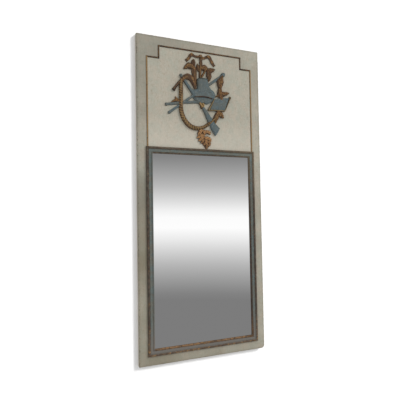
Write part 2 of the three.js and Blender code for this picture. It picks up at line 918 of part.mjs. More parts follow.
const group = new THREE.Group();
group.position.z = -(middleRailBottom + middleRailTop) / 2;
group.add(board(), glazing(), moulding(), fillet(), carvedTrophy(), hangers());

export default group;
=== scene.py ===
"""A painted trumeau mirror with a carved hunting trophy, hung on a pale wall.

Metres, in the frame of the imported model: X to the viewer's right, Y into the wall, Z up.
The trophy is drawn in millimetres from the centreline and from the tip of its foliage drop.
"""

import math

import bmesh
import bpy
import numpy as np
from mathutils import Matrix, Vector, noise


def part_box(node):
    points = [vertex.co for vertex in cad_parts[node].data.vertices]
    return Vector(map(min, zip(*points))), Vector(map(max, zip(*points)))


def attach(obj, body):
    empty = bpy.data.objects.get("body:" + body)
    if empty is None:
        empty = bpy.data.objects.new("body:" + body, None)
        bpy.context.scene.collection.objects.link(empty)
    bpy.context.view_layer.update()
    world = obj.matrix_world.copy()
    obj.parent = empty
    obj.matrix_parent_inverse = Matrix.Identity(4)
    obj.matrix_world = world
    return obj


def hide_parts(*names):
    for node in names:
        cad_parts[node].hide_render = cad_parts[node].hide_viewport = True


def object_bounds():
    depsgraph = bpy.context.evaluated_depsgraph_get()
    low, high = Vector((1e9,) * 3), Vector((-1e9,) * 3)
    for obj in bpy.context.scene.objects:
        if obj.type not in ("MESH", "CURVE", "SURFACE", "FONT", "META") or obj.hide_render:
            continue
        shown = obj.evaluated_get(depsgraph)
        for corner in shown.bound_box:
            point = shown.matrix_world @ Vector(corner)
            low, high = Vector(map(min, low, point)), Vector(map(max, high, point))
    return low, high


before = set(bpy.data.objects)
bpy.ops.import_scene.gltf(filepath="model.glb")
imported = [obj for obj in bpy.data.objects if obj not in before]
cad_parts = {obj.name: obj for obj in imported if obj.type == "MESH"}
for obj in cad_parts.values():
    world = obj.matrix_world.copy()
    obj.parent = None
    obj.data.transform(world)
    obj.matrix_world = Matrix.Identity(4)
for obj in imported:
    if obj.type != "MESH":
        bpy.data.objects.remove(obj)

MM = 0.001

cad_low, cad_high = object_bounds()


def middle(node, axis):
    low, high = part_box(node)
    return (low[axis] + high[axis]) / 2


# ---------------------------------------------------------------- Places taken from the frame

BOARD_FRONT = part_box("upper_panel")[0].y
BOARD_BACK = cad_high.y
BOARD_SIDE = cad_high.x
BOARD_TOP = cad_high.z
BOARD_FOOT = cad_low.z
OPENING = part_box("right_stile")[0].x

MOULDING_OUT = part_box("moulding_right")[1].x
MOULDING_WIDTH = MOULDING_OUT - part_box("moulding_right")[0].x
MOULDING_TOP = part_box("moulding_top")[1].z
MOULDING_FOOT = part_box("moulding_bottom")[0].z

FILLET_OUTER = middle("fillet_right_run", 0)
FILLET_INNER = middle("fillet_right_drop", 0)
FILLET_STEP = middle("fillet_right_step", 2)
FILLET_HEAD = middle("fillet_top", 2)

TROPHY_FOOT = MOULDING_TOP + 2 * MM

# ---------------------------------------------------------------- Mesh making


def wander(x, y, z, scale, seed=0.0):
    """Smooth noise about -1 to 1 with features of the given size in metres."""
    place = Vector((x, y, z)) / scale + Vector((seed, seed * 1.7, seed * 0.6))
    return noise.noise(place)


def piece_from(name, verts, faces, material, slot, node=None, body="frame", run=None, **marks):
    """One finished piece: verts in metres, run holds (along, across) in metres for each vertex, and
    each mark is a value for each vertex, such as crest, 0 in the recesses and 1 on the crests."""
    mesh = bpy.data.meshes.new(name)
    mesh.from_pydata([tuple(v) for v in verts], [], [tuple(int(i) for i in f) for f in faces])
    mesh.validate()
    for mark, values in marks.items():
        mesh.attributes.new(mark, "FLOAT", "POINT").data.foreach_set("value", np.ravel(values))
    if run is not None:
        layer = mesh.uv_layers.new(name="run")
        corners = np.zeros(len(mesh.loops), dtype=int)
        mesh.loops.foreach_get("vertex_index", corners)
        layer.data.foreach_set("uv", np.asarray(run, dtype=float).reshape(-1, 2)[corners].ravel())
    outward(mesh)
    mesh.polygons.foreach_set("use_smooth", [True] * len(mesh.polygons))
    mesh.set_sharp_from_angle(angle=math.radians(38))
    return place_piece(name, mesh, material, node, body)


def outward(mesh):
    work = bmesh.new()
    work.from_mesh(mesh)
    bmesh.ops.recalc_face_normals(work, faces=work.faces)
    work.to_mesh(mesh)
    work.free()


def place_piece(name, mesh, material, node=None, body="frame"):
    piece = bpy.data.objects.new(name, mesh)
    bpy.context.scene.collection.objects.link(piece)
    mesh.materials.clear()
    mesh.materials.append(material)
    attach(piece, body)
    if node:
        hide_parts(node)
    return piece


def grid_faces(rows, columns, around=False, along=False):
    """Quads of a grid of points, closed across its columns or along its rows if asked."""
    faces = []
    for row in range(rows if along else rows - 1):
        next_row = (row + 1) % rows
        for column in range(columns if around else columns - 1):
            next_column = (column + 1) % columns
            faces.append((
                row * columns + column,
                row * columns + next_column,
                next_row * columns + next_column,
                next_row * columns + column,
            ))
    return faces


def capped_grid(rows, columns):
    """A tube of quads with both ends filled."""
    first = tuple(range(columns))
    last = tuple((rows - 1) * columns + column for column in reversed(range(columns)))
    return grid_faces(rows, columns, around=True) + [first, last]


def join(parts):
    """Several (verts, faces, crest) parts as one."""
    verts, faces, crest, start = [], [], [], 0
    for part_verts, part_faces, part_crest in parts:
        verts.append(part_verts)
        crest.append(part_crest)
        faces += [tuple(start + i for i in face) for face in part_faces]
        start += len(part_verts)
    return np.concatenate(verts), faces, np.concatenate(crest)


# ---------------------------------------------------------------- Shader helpers


class Nodes:
    """A material's or a group's nodes, made and wired by short calls."""

    def __init__(self, tree):
        self.tree = tree

    def add(self, kind, inputs=None, **settings):
        node = self.tree.nodes.new(kind)
        for name, value in settings.items():
            setattr(node, name, value)
        for name, value in (inputs or {}).items():
            self.feed(node.inputs[name], value)
        return node

    def feed(self, socket, value):
        if isinstance(value, bpy.types.NodeSocket):
            self.tree.links.new(value, socket)
        else:
            socket.default_value = value

    def math(self, operation, a, b=0.0, clamp=False):
        node = self.add("ShaderNodeMath", {0: a, 1: b}, operation=operation, use_clamp=clamp)
        return node.outputs[0]

    def times(self, a, b):
        return self.math("MULTIPLY", a, b)

    def plus(self, a, b, clamp=False):
        return self.math("ADD", a, b, clamp)

    def minus(self, a, b, clamp=False):
        return self.math("SUBTRACT", a, b, clamp)

    def least(self, a, b):
        return self.math("MINIMUM", a, b)

    def most(self, a, b):
        return self.math("MAXIMUM", a, b)

    def size_of(self, a):
        return self.math("ABSOLUTE", a)

    def ramp(self, factor, low, high, out_low=0.0, out_high=1.0):
        """A value that goes smoothly from out_low to out_high as factor goes from low to high."""
        node = self.add("ShaderNodeMapRange", interpolation_type="SMOOTHSTEP")
        values = (factor, low, high, out_low, out_high)
        for name, value in zip(("Value", "From Min", "From Max", "To Min", "To Max"), values):
            self.feed(node.inputs[name], value)
        return node.outputs["Result"]

    def mix(self, factor, a, b):
        node = self.add("ShaderNodeMix", data_type="RGBA")
        colours = [socket for socket in node.inputs if socket.type == "RGBA"]
        self.feed(node.inputs[0], factor)
        self.feed(colours[0], a)
        self.feed(colours[1], b)
        return next(socket for socket in node.outputs if socket.type == "RGBA")

    def noise(self, coordinates, size, detail=4.0, roughness=0.55):
        """Noise with features of about the given size in metres."""
        grain = {"Scale": 1 / size, "Detail": detail, "Roughness": roughness}
        return self.add("ShaderNodeTexNoise", {"Vector": coordinates, **grain}).outputs["Fac"]

    def patches(self, coordinates, size, low, high, out_low=0.0, out_high=1.0, **grain):
        """Soft-edged patches: noise of the given size, ramped."""
        return self.ramp(self.noise(coordinates, size, **grain), low, high, out_low, out_high)

    def mapped(self, coordinates, **change):
        """The place turned, moved or scaled, by Rotation, Location and Scale."""
        return self.add("ShaderNodeMapping", {"Vector": coordinates, **change}).outputs[0]

    def drawn_out(self, coordinates, scale):
        """Draws a pattern out along Z, the longer the lower the scale."""
        return self.mapped(coordinates, Scale=(1, 1, scale))

    def moved(self, coordinates, by):
        """The same place elsewhere in the pattern, so that two patterns don't coincide."""
        return self.mapped(coordinates, Location=(by, by, by))

    def own_place(self):
        return self.add("ShaderNodeTexCoord").outputs["Object"]

    def split(self, vector):
        return self.add("ShaderNodeSeparateXYZ", {"Vector": vector}).outputs

    def attribute(self, name):
        return self.add("ShaderNodeAttribute", attribute_name=name).outputs["Fac"]

    def bump(self, height, strength, distance):
        values = {"Height": height, "Strength": strength, "Distance": distance}
        return self.add("ShaderNodeBump", values).outputs["Normal"]


def colour(red, green, blue):
    """A colour written as it looks, 0 to 255, as the linear value that a socket holds."""
    def linear(value):
        value /= 255
        return value / 12.92 if value <= 0.04045 else ((value + 0.055) / 1.055) ** 2.4
    return (linear(red), linear(green), linear(blue), 1.0)


def new_material(name):
    material = bpy.data.materials.new(name)
    material.use_nodes = True
    material.node_tree.nodes.clear()
    return material, Nodes(material.node_tree)


def surface(nodes, **inputs):
    """The material's own Principled shader, wired to its output."""
    shader = nodes.add("ShaderNodeBsdfPrincipled")
    for name, value in inputs.items():
        nodes.feed(shader.inputs[name.replace("_", " ")], value)
    output = nodes.add("ShaderNodeOutputMaterial")
    nodes.tree.links.new(shader.outputs[0], output.inputs["Surface"])
    return shader


def new_group(name, inputs, outputs):
    """A shader group: inputs and outputs are {name: (kind, default)} and {name: kind}."""
    tree = bpy.data.node_groups.new(name, "ShaderNodeTree")
    for label, (kind, default) in inputs.items():
        socket = tree.interface.new_socket(label, in_out="INPUT", socket_type="NodeSocket" + kind)
        if default is not None:
            socket.default_value = default
    for label, kind in outputs.items():
        tree.interface.new_socket(label, in_out="OUTPUT", socket_type="NodeSocket" + kind)
    nodes = Nodes(tree)
    return tree, nodes, nodes.add("NodeGroupInput").outputs, nodes.add("NodeGroupOutput").inputs


def use_group(nodes, tree, **inputs):
    node = nodes.add("ShaderNodeGroup", node_tree=tree)
    for name, value in inputs.items():
        nodes.feed(node.inputs[name.replace("_", " ")], value)
    return node.outputs


# ---------------------------------------------------------------- Shared effects


def old_paint_group():
    """Brushed, mottled, finely cracked old paint: a colour, a roughness and a height."""
    tree, nodes, given, put = new_group(
        "old brushed paint",
        {
            "Place": ("Vector", None),
            "Cool": ("Color", (0.5, 0.5, 0.5, 1)),
            "Warm": ("Color", (0.5, 0.5, 0.5, 1)),
            "Dirt": ("Color", (0.1, 0.1, 0.1, 1)),
        },
        {"Colour": "Color", "Roughness": "Float", "Height": "Float"},
    )
    place = given["Place"]
    patches = nodes.noise(place, 0.03, detail=5, roughness=0.6)
    tint = nodes.mix(nodes.ramp(patches, 0.36, 0.64), given["Cool"], given["Warm"])
    strokes = nodes.noise(nodes.drawn_out(place, 0.12), 0.004, detail=5)
    streaked = nodes.mix(nodes.ramp(strokes, 0.35, 0.65, 0.0, 0.08), tint, (0, 0, 0, 1))
    speckle = nodes.noise(place, 0.0035, detail=3, roughness=0.7)
    lifted = nodes.mix(nodes.ramp(speckle, 0.50, 0.70, 0.0, 0.12), streaked, (1, 1, 1, 1))
    pitted = nodes.noise(place, 0.0075, roughness=0.7)
    lifted = nodes.mix(nodes.ramp(pitted, 0.50, 0.68, 0.0, 0.28), lifted, given["Dirt"])
    darkening = nodes.noise(place, 0.012, detail=6, roughness=0.7)
    dirty = nodes.mix(nodes.ramp(darkening, 0.56, 0.74, 0.0, 0.40), lifted, given["Dirt"])
    slanted = nodes.mapped(place, Rotation=(0, 0.5, 0), Scale=(1, 1, 0.05))
    scratch = nodes.noise(slanted, 0.0022, detail=1)
    seldom = nodes.patches(place, 0.035, 0.60, 0.68, detail=1)
    scratch = nodes.times(nodes.ramp(scratch, 0.66, 0.72), seldom)
    dirty = nodes.mix(nodes.times(scratch, 0.55), dirty, given["Dirt"])
    cells = nodes.add(
        "ShaderNodeTexVoronoi",
        {"Vector": nodes.drawn_out(place, 0.6), "Scale": 170.0},
        feature="DISTANCE_TO_EDGE",
    ).outputs["Distance"]
    crack = nodes.ramp(cells, 0.0, 0.045, 1.0, 0.0)
    where = nodes.patches(place, 0.06, 0.50, 0.64, detail=2)
    crack = nodes.times(crack, where)
    nodes.feed(put["Colour"], nodes.mix(nodes.times(crack, 0.35), dirty, given["Dirt"]))
    nodes.feed(put["Roughness"], nodes.ramp(speckle, 0.3, 0.7, 0.58, 0.78))
    relief = nodes.times(strokes, 0.6)
    relief = nodes.plus(relief, nodes.times(darkening, 0.5))
    nodes.feed(put["Height"], nodes.minus(relief, nodes.times(crack, 0.8)))
    return tree


def rubbed_group():
    """Where a finish is rubbed off: more on the crests, in flecks of the given size."""
    tree, nodes, given, put = new_group(
        "rubbed away",
        {
            "Place": ("Vector", None),
            "Crest": ("Float", 0.0),
            "Amount": ("Float", 0.5),
            "Fleck": ("Float", 0.006),
        },
        {"Mask": "Float"},
    )
    scaled = nodes.add("ShaderNodeVectorMath", {0: given["Place"]}, operation="SCALE")
    nodes.feed(scaled.inputs["Scale"], nodes.math("DIVIDE", 1.0, given["Fleck"]))
    flecks = nodes.noise(scaled.outputs[0], 1.0, detail=6, roughness=0.62)
    broad = nodes.noise(scaled.outputs[0], 6.0, detail=2)
    level = nodes.plus(nodes.times(given["Crest"], 0.35), given["Amount"])
    level = nodes.plus(level, 0.13)
    level = nodes.plus(level, nodes.times(broad, 0.24))
    edge = nodes.plus(flecks, nodes.minus(level, 1.0))
    nodes.feed(put["Mask"], nodes.ramp(edge, 0.02, 0.12))
    return tree


def wood_group():
    """Plain sawn softwood along Z: a colour and a height."""
    tree, nodes, given, put = new_group(
        "sawn wood",
        {
            "Place": ("Vector", None),
            "Light": ("Color", (0.5, 0.4, 0.3, 1)),
            "Dark": ("Color", (0.3, 0.2, 0.1, 1)),
        },
        {"Colour": "Color", "Height": "Float"},
    )
    place = given["Place"]
    rings = nodes.noise(nodes.drawn_out(place, 0.035), 0.012, detail=3, roughness=0.6)
    wave = nodes.ramp(rings, 0.42, 0.66)
    fibre = nodes.noise(nodes.drawn_out(place, 0.03), 0.0012, roughness=0.7)
    late = nodes.times(wave, 0.45)
    tone = nodes.plus(late, nodes.ramp(fibre, 0.35, 0.7, 0.0, 0.40), clamp=True)
    stained = nodes.mix(tone, given["Light"], given["Dark"])
    age = nodes.patches(place, 0.09, 0.35, 0.7, 0.0, 0.3)
    nodes.feed(put["Colour"], nodes.mix(age, stained, given["Dark"]))
    nodes.feed(put["Height"], nodes.plus(fibre, nodes.times(wave, 0.3)))
    return tree


OLD_PAINT = old_paint_group()
RUBBED = rubbed_group()
WOOD = wood_group()

# ---------------------------------------------------------------- Finishes

PINE_LIGHT = colour(176, 146, 108)
PINE_DARK = colour(112, 80, 52)


def old_paint(nodes, place, cool, warm, dirt):
    """The old brushed paint in its three tones."""
    tones = {"Cool": colour(*cool), "Warm": colour(*warm), "Dirt": colour(*dirt)}
    return use_group(nodes, OLD_PAINT, Place=place, **tones)


def along_z(nodes, place, grain):
    """Turns the place so that the grain, along X or Z, lies along Z for the wood group."""
    if grain == "Z":
        return place
    return nodes.mapped(place, Rotation=(0, math.pi / 2, 0))


def bare_wood(name, grain, light=PINE_LIGHT, dark=PINE_DARK):
    material, nodes = new_material(name)
    place = along_z(nodes, nodes.own_place(), grain)
    wood = use_group(nodes, WOOD, Place=place, Light=light, Dark=dark)
    surface(
        nodes,
        Base_Color=wood["Colour"],
        Roughness=0.78,
        Normal=nodes.bump(wood["Height"], 0.5, 0.0004),
    )
    return material


def distance_to_edge(nodes, place):
    """How far a place on the board's face or edge is from the nearest outer arris, in metres."""
    x, y, z = nodes.split(place)
    sideways = nodes.minus(BOARD_SIDE, nodes.size_of(x))
    up = nodes.minus(BOARD_TOP, z)
    down = nodes.minus(z, BOARD_FOOT)
    inward = nodes.least(sideways, nodes.least(up, down))
    from_front = nodes.minus(y, BOARD_FRONT)
    from_back = nodes.minus(BOARD_BACK, y)
    return nodes.plus(inward, nodes.least(from_front, from_back))


def beyond(nodes, value, limit):
    return nodes.ramp(value, limit - 2 * MM, limit + 2 * MM)


def outside_fillet(nodes, place):
    """1 on the margin round the trophy's field and beside the mirror, 0 within the fillet."""
    x, _, z = nodes.split(place)
    side = nodes.size_of(x)
    step = nodes.least(beyond(nodes, side, FILLET_INNER), beyond(nodes, z, FILLET_STEP))
    rest = nodes.most(beyond(nodes, side, FILLET_OUTER), beyond(nodes, z, FILLET_HEAD))
    below = nodes.ramp(z, 0.0, -0.02)
    return nodes.most(nodes.most(step, rest), below)


def dents(nodes, place):
    """Small dark knocks, here and there."""
    bent = nodes.add("ShaderNodeVectorMath", {0: place}, operation="ADD")
    wobble = nodes.add("ShaderNodeTexNoise", {"Vector": place, "Scale": 220.0}).outputs["Color"]
    small = nodes.add("ShaderNodeVectorMath", {0: wobble}, operation="SCALE")
    small.inputs["Scale"].default_value = 0.004
    nodes.feed(bent.inputs[1], small.outputs[0])
    cells = nodes.add("ShaderNodeTexVoronoi", {"Vector": bent.outputs[0], "Scale": 28.0})
    chosen = nodes.ramp(nodes.split(cells.outputs["Color"])[0], 0.86, 0.90)
    return nodes.times(nodes.ramp(cells.outputs["Distance"], 0.03, 0.06, 1.0, 0.0), chosen)


def board_paint(name, grain):
    """Cream-grey paint on the face and the edges, chipped to dark wood at the rim, bare behind,
    with painted shade darkening the left margin.
    """
    material, nodes = new_material(name)
    place = nodes.own_place()
    x, _, z = nodes.split(place)
    paint = old_paint(nodes, place, (167, 165, 150), (176, 168, 152), (122, 113, 94))
    # The field is paler towards its foot.
    paler_low = nodes.ramp(z, 0.16, 0.0, 0.0, 0.22)
    field = nodes.mix(paler_low, paint["Colour"], colour(226, 218, 204))
    # Painted shade: the margin darkens towards the left, away from the window. Random soiling and
    # height add real dirt to the same tone.
    painted_shade_left = nodes.ramp(x, -BOARD_SIDE, BOARD_SIDE, 0.30, 0.06)
    soiled = nodes.patches(place, 0.14, 0.35, 0.65, 0.0, 0.16)
    grey = nodes.plus(painted_shade_left, soiled)
    grey = nodes.plus(grey, nodes.ramp(z, BOARD_FOOT + 0.04, BOARD_FOOT + 0.09, 0.12, 0.0))
    by_rail = nodes.ramp(nodes.size_of(z), 0.04, 0.18, 0.17, 0.0)
    grey = nodes.minus(grey, by_rail, clamp=True)
    # Darker still on the left margin beside the mirror.
    half_way = nodes.size_of(nodes.plus(z, 0.38))
    left_of_mirror = nodes.ramp(half_way, 0.08, 0.34, 0.24, 0.0)
    grey = nodes.plus(grey, nodes.times(left_of_mirror, nodes.ramp(x, -0.1, 0.0, 1.0, 0.0)))
    low_down = nodes.ramp(z, -0.1, -0.5)
    dirt_and_shade_tone = nodes.mix(low_down, colour(104, 100, 88), colour(104, 94, 70))
    margin = nodes.mix(grey, paint["Colour"], dirt_and_shade_tone)
    toned = nodes.mix(outside_fillet(nodes, place), field, margin)
    rim = distance_to_edge(nodes, place)
    toned = nodes.mix(nodes.ramp(rim, 0.0, 0.012, 0.22, 0.0), toned, colour(96, 88, 68))
    flake = nodes.noise(place, 0.007, detail=6, roughness=0.68)
    close = nodes.ramp(rim, 0.0, 0.006, 0.20, 0.0)
    chipped = nodes.ramp(nodes.plus(flake, close), 0.70, 0.76)
    chipped = nodes.times(chipped, nodes.ramp(rim, 0.006, 0.014, 1.0, 0.0))
    toned = nodes.mix(nodes.times(dents(nodes, place), 0.6), toned, colour(78, 64, 46))
    worn = nodes.mix(nodes.times(chipped, 0.85), toned, colour(70, 58, 42))
    wood = use_group(
        nodes, WOOD, Place=along_z(nodes, place, grain), Light=PINE_LIGHT, Dark=PINE_DARK
    )
    painted = nodes.ramp(nodes.attribute("painted"), 0.4, 0.6)
    finish = nodes.mix(painted, wood["Colour"], worn)
    height = nodes.minus(paint["Height"], nodes.times(chipped, 0.9))
    height = nodes.add("ShaderNodeMix", {0: painted, 2: wood["Height"], 3: height}).outputs[0]
    surface(
        nodes,
        Base_Color=finish,
        Roughness=paint["Roughness"],
        Normal=nodes.bump(height, 0.35, 0.0006),
    )
    return material


def moulding_paint():
    """Blue-grey in the cove; both beads rubbed to brown ground with remains of gilding; painted
    light on the parts nearer the window.
    """
    material, nodes = new_material("moulding paint and worn gilding")
    place = nodes.own_place()
    x, _, z = nodes.split(place)
    across = nodes.split(nodes.add("ShaderNodeUVMap", uv_map="run").outputs[0])[1]
    paint = old_paint(nodes, place, (86, 98, 96), (96, 96, 86), (66, 58, 46))
    low_down = nodes.ramp(z, BOARD_FOOT + 0.07, BOARD_FOOT + 0.2, 0.75, 0.0)
    cove = nodes.mix(low_down, paint["Colour"], colour(108, 102, 96))
    # Painted light: the parts nearer the window are lightened in colour.
    painted_light = nearer_the_light(nodes, place)
    top_only = nodes.ramp(z, MOULDING_TOP - 0.05, MOULDING_TOP - 0.03, 0.05, 0.35)
    cove = nodes.mix(nodes.times(painted_light, top_only), cove, colour(124, 130, 122))
    bead = bead_finish(nodes, place, low_down)
    bead = nodes.mix(nodes.times(painted_light, 0.38), bead, colour(130, 114, 88))
    sight_edge = nodes.ramp(across, 5 * MM, 9 * MM, 1.0, 0.0)
    golden = nodes.noise(nodes.moved(place, 9.1), 0.007, detail=5, roughness=0.7)
    golden = nodes.times(nodes.ramp(golden, 0.42, 0.54), nodes.times(sight_edge, low_down))
    bead = nodes.mix(nodes.times(golden, 0.95), bead, colour(150, 112, 74))
    down_right = nodes.times(nodes.ramp(x, 0.2, 0.22), nodes.ramp(z, -0.32, -0.2, 0.55, 0.0))
    down_right = nodes.times(down_right, sight_edge)
    bead = nodes.mix(down_right, bead, colour(60, 42, 28))
    inner_edge = 6.5 * MM
    outer_edge = 18.5 * MM
    ragged = nodes.times(nodes.minus(nodes.noise(place, 0.006), 0.5), 0.008)
    spot = nodes.plus(across, ragged)
    spot = nodes.minus(spot, nodes.times(low_down, 2.4 * MM))
    inner = nodes.ramp(spot, inner_edge - 1 * MM, inner_edge + 1 * MM, 1.0, 0.0)
    outer = nodes.ramp(spot, outer_edge - 1 * MM, outer_edge + 1 * MM)
    sight = MOULDING_OUT - MOULDING_WIDTH
    on_left = nodes.ramp(x, -sight - 1 * MM, -sight + 1 * MM, 0.85, 0.0)
    inner = nodes.times(inner, nodes.minus(1.0, on_left))
    is_bead = nodes.most(inner, outer)
    surface(
        nodes,
        Base_Color=nodes.mix(is_bead, cove, bead),
        Roughness=nodes.ramp(is_bead, 0, 1, 0.66, 0.56),
        Normal=nodes.bump(paint["Height"], 0.4, 0.0005),
    )
    return material


def nearer_the_light(nodes, place):
    """Where painted light lifts the moulding: the top length a little, its right end and the right
    length's upper end more.
    """
    x, _, z = nodes.split(place)
    along_top = nodes.ramp(z, MOULDING_TOP - 0.035, MOULDING_TOP - 0.03, 0.0, 0.3)
    high_up = nodes.ramp(z, MOULDING_TOP - 0.28, MOULDING_TOP - 0.08)
    to_right = nodes.times(nodes.ramp(x, 0.08, 0.24), high_up)
    return nodes.most(along_top, to_right)


def bead_finish(nodes, place, low_down):
    """Dark brown ground, grey where dust lies, with reddish and golden flecks, more lower down."""
    dusty = nodes.patches(place, 0.012, 0.35, 0.65)
    ground = nodes.mix(dusty, colour(62, 52, 43), colour(86, 78, 65))
    red = nodes.patches(place, 0.0045, 0.55, 0.64, 0.0, 0.7, detail=5, roughness=0.7)
    ground = nodes.mix(red, ground, colour(112, 66, 44))
    amount = nodes.plus(nodes.times(low_down, 0.10), 0.16)
    gold_left = use_group(nodes, RUBBED, Place=place, Crest=0.0, Amount=amount, Fleck=0.008)["Mask"]
    ground = nodes.mix(nodes.times(low_down, 0.35), ground, colour(118, 88, 62))
    dark = nodes.patches(nodes.moved(place, 5.3), 0.008, 0.52, 0.62, 0.0, 0.6)
    ground = nodes.mix(dark, ground, colour(46, 38, 36))
    return nodes.mix(nodes.times(gold_left, 0.8), ground, colour(158, 120, 70))


def worn_gilding(name, deep, mid, bright, amount):
    """Gold over a dark ground: it stays on the crests and is gone in the recesses, which are
    darkened with dirt and painted shade. Where it is gone some red ground shows, and old varnish
    turns some of it olive."""
    deep, mid, bright = colour(*deep), colour(*mid), colour(*bright)
    material, nodes = new_material(name)
    place = nodes.own_place()
    crest = nodes.attribute("crest")
    ground = nodes.mix(nodes.patches(place, 0.007, 0.4, 0.6, detail=5), deep, mid)
    red = nodes.patches(nodes.moved(place, 3.1), 0.010, 0.52, 0.62, 0.0, 0.55)
    ground = nodes.mix(red, ground, colour(112, 66, 46))
    olive = nodes.patches(nodes.moved(place, 7.7), 0.012, 0.50, 0.62, 0.0, 0.65)
    ground = nodes.mix(olive, ground, colour(82, 70, 42))
    # Dirt and painted shade: the recesses go towards the deep ground.
    darkening = nodes.ramp(crest, 0.1, 0.7, 0.85, 0.0)
    ground = nodes.mix(darkening, ground, deep)
    rubbed = use_group(nodes, RUBBED, Place=place, Crest=crest, Amount=amount, Fleck=0.0055)
    gold_left = nodes.times(rubbed["Mask"], nodes.ramp(crest, 0.3, 0.8))
    finish = nodes.mix(gold_left, ground, bright)
    tool = nodes.noise(place, 0.0016)
    surface(
        nodes,
        Base_Color=finish,
        Metallic=nodes.times(gold_left, 0.35),
        Roughness=nodes.ramp(gold_left, 0, 1, 0.66, 0.45),
        Normal=nodes.bump(tool, 0.45, 0.0005),
    )
    return material


def blue_paint():
    """Matt blue-grey with painted shade in the corners, rubbed pale on the crests, with a few brown
    spots.
    """
    material, nodes = new_material("blue-grey paint")
    place = nodes.own_place()
    crest = nodes.attribute("crest")
    paint = old_paint(nodes, place, (79, 95, 99), (90, 96, 91), (66, 64, 60))
    # Painted shade where the crest is low, in the corners and along the sides.
    shaded = nodes.mix(nodes.ramp(crest, 0.1, 0.6, 0.55, 0.0), paint["Colour"], colour(62, 60, 52))
    rubbed = use_group(nodes, RUBBED, Place=place, Crest=crest, Amount=-0.16, Fleck=0.006)["Mask"]
    finish = nodes.mix(nodes.times(rubbed, 0.35), shaded, colour(122, 100, 78))
    surface(
        nodes,
        Base_Color=finish,
        Roughness=paint["Roughness"],
        Normal=nodes.bump(paint["Height"], 0.4, 0.0005),
    )
    return material


def mirror_silver():
    material, nodes = new_material("silvered glass")
    haze = nodes.noise(nodes.own_place(), 0.3, detail=2)
    surface(
        nodes,
        Base_Color=(1, 1, 1, 1),
        Metallic=1.0,
        Roughness=nodes.ramp(haze, 0.3, 0.7, 0.004, 0.012),
    )
    return material


def dull_steel():
    material, nodes = new_material("dull zinc-plated steel")
    place = nodes.own_place()
    bloom = nodes.noise(place, 0.006, detail=5)
    tone = nodes.mix(bloom, colour(150, 150, 146), colour(188, 188, 184))
    rust = nodes.patches(place, 0.004, 0.60, 0.70, detail=6, roughness=0.7)
    surface(
        nodes,
        Base_Color=nodes.mix(nodes.times(rust, 0.7), tone, colour(120, 78, 48)),
        Metallic=nodes.ramp(rust, 0, 1, 0.95, 0.2),
        Roughness=nodes.ramp(bloom, 0.3, 0.7, 0.32, 0.5),
        Normal=nodes.bump(bloom, 0.2, 0.0003),
    )
    return material


BOARD_UPRIGHT = board_paint("board paint, upright pieces", "Z")
BOARD_LEVEL = board_paint("board paint, level pieces", "X")
MOULDING = moulding_paint()
FILLET_GILDING = worn_gilding(
    "worn gilding of the fillet", (82, 66, 54), (108, 87, 67), (160, 130, 88), 0.10
)
# Dark worn gilding, also used as painted shade on the fillet's level lengths.
DARK_GILDING = worn_gilding(
    "dark worn gilding and painted shade", (44, 33, 29), (74, 57, 45), (126, 97, 61), -0.04
)
GILDING = worn_gilding(
    "worn gilding of the leaves", (76, 54, 36), (98, 72, 48), (150, 114, 72), 0.08
)
HORN_GILDING = worn_gilding(
    "worn gilding of the horn", (76, 56, 34), (112, 88, 60), (174, 142, 92), 0.26
)
LIGHT_GILDING = worn_gilding(
    "warm gilding of the drop", (86, 60, 42), (156, 115, 79), (208, 165, 117), 0.26
)
DULL_GILDING = worn_gilding(
    "dull gilding of the edging", (74, 60, 42), (100, 88, 66), (136, 118, 86), 0.10
)
BLUE = blue_paint()
MIRROR = mirror_silver()
PINE_UPRIGHT = bare_wood("bare wood, upright", "Z")
PINE_LEVEL = bare_wood("bare wood, level", "X")
BACKING = bare_wood("thin backing board", "X", colour(158, 124, 86), colour(112, 82, 54))
STEEL = dull_steel()

# ---------------------------------------------------------------- The board

EDGE_ROUND = 1.1 * MM
CHIP_STEP = 3.2 * MM
PAINT_EDGE = 1.5 * MM


def inward_of(run, worn):
    """The way that wear takes a side, square to it, or no way where it isn't worn."""
    return Vector((-run.y, run.x)).normalized() if worn else Vector((0, 0))


def walk(outline):
    """The outline's points with the worn sides cut into short steps. Each corner comes with whether
    the side after it is worn. Gives each point's place and the inward way that wear takes it."""
    places, inwards = [], []
    count = len(outline)
    for side in range(count):
        start, worn = outline[side]
        end = outline[(side + 1) % count][0]
        before, worn_before = outline[side - 1]
        run = Vector(end) - Vector(start)
        last_run = Vector(start) - Vector(before)
        inward = inward_of(run, worn)
        last_inward = inward_of(last_run, worn_before)
        steps = max(1, round(run.length / CHIP_STEP)) if worn else 1
        for step in range(steps):
            places.append(Vector(start) + run * step / steps)
            bend = inward + last_inward if step == 0 and inward.dot(last_inward) < 0.9 else inward
            inwards.append(bend if bend.length else last_inward)
    return places, inwards


def wear_at(x, z):
    """How far the rim is worn back at a place, in metres."""
    soft = 0.7 + 0.5 * wander(x, 0, z, 0.05, 3.1)
    chip = max(0.0, wander(x, 0, z, 0.011, 8.4) - 0.30) * 3.2
    return EDGE_ROUND * (soft + chip)


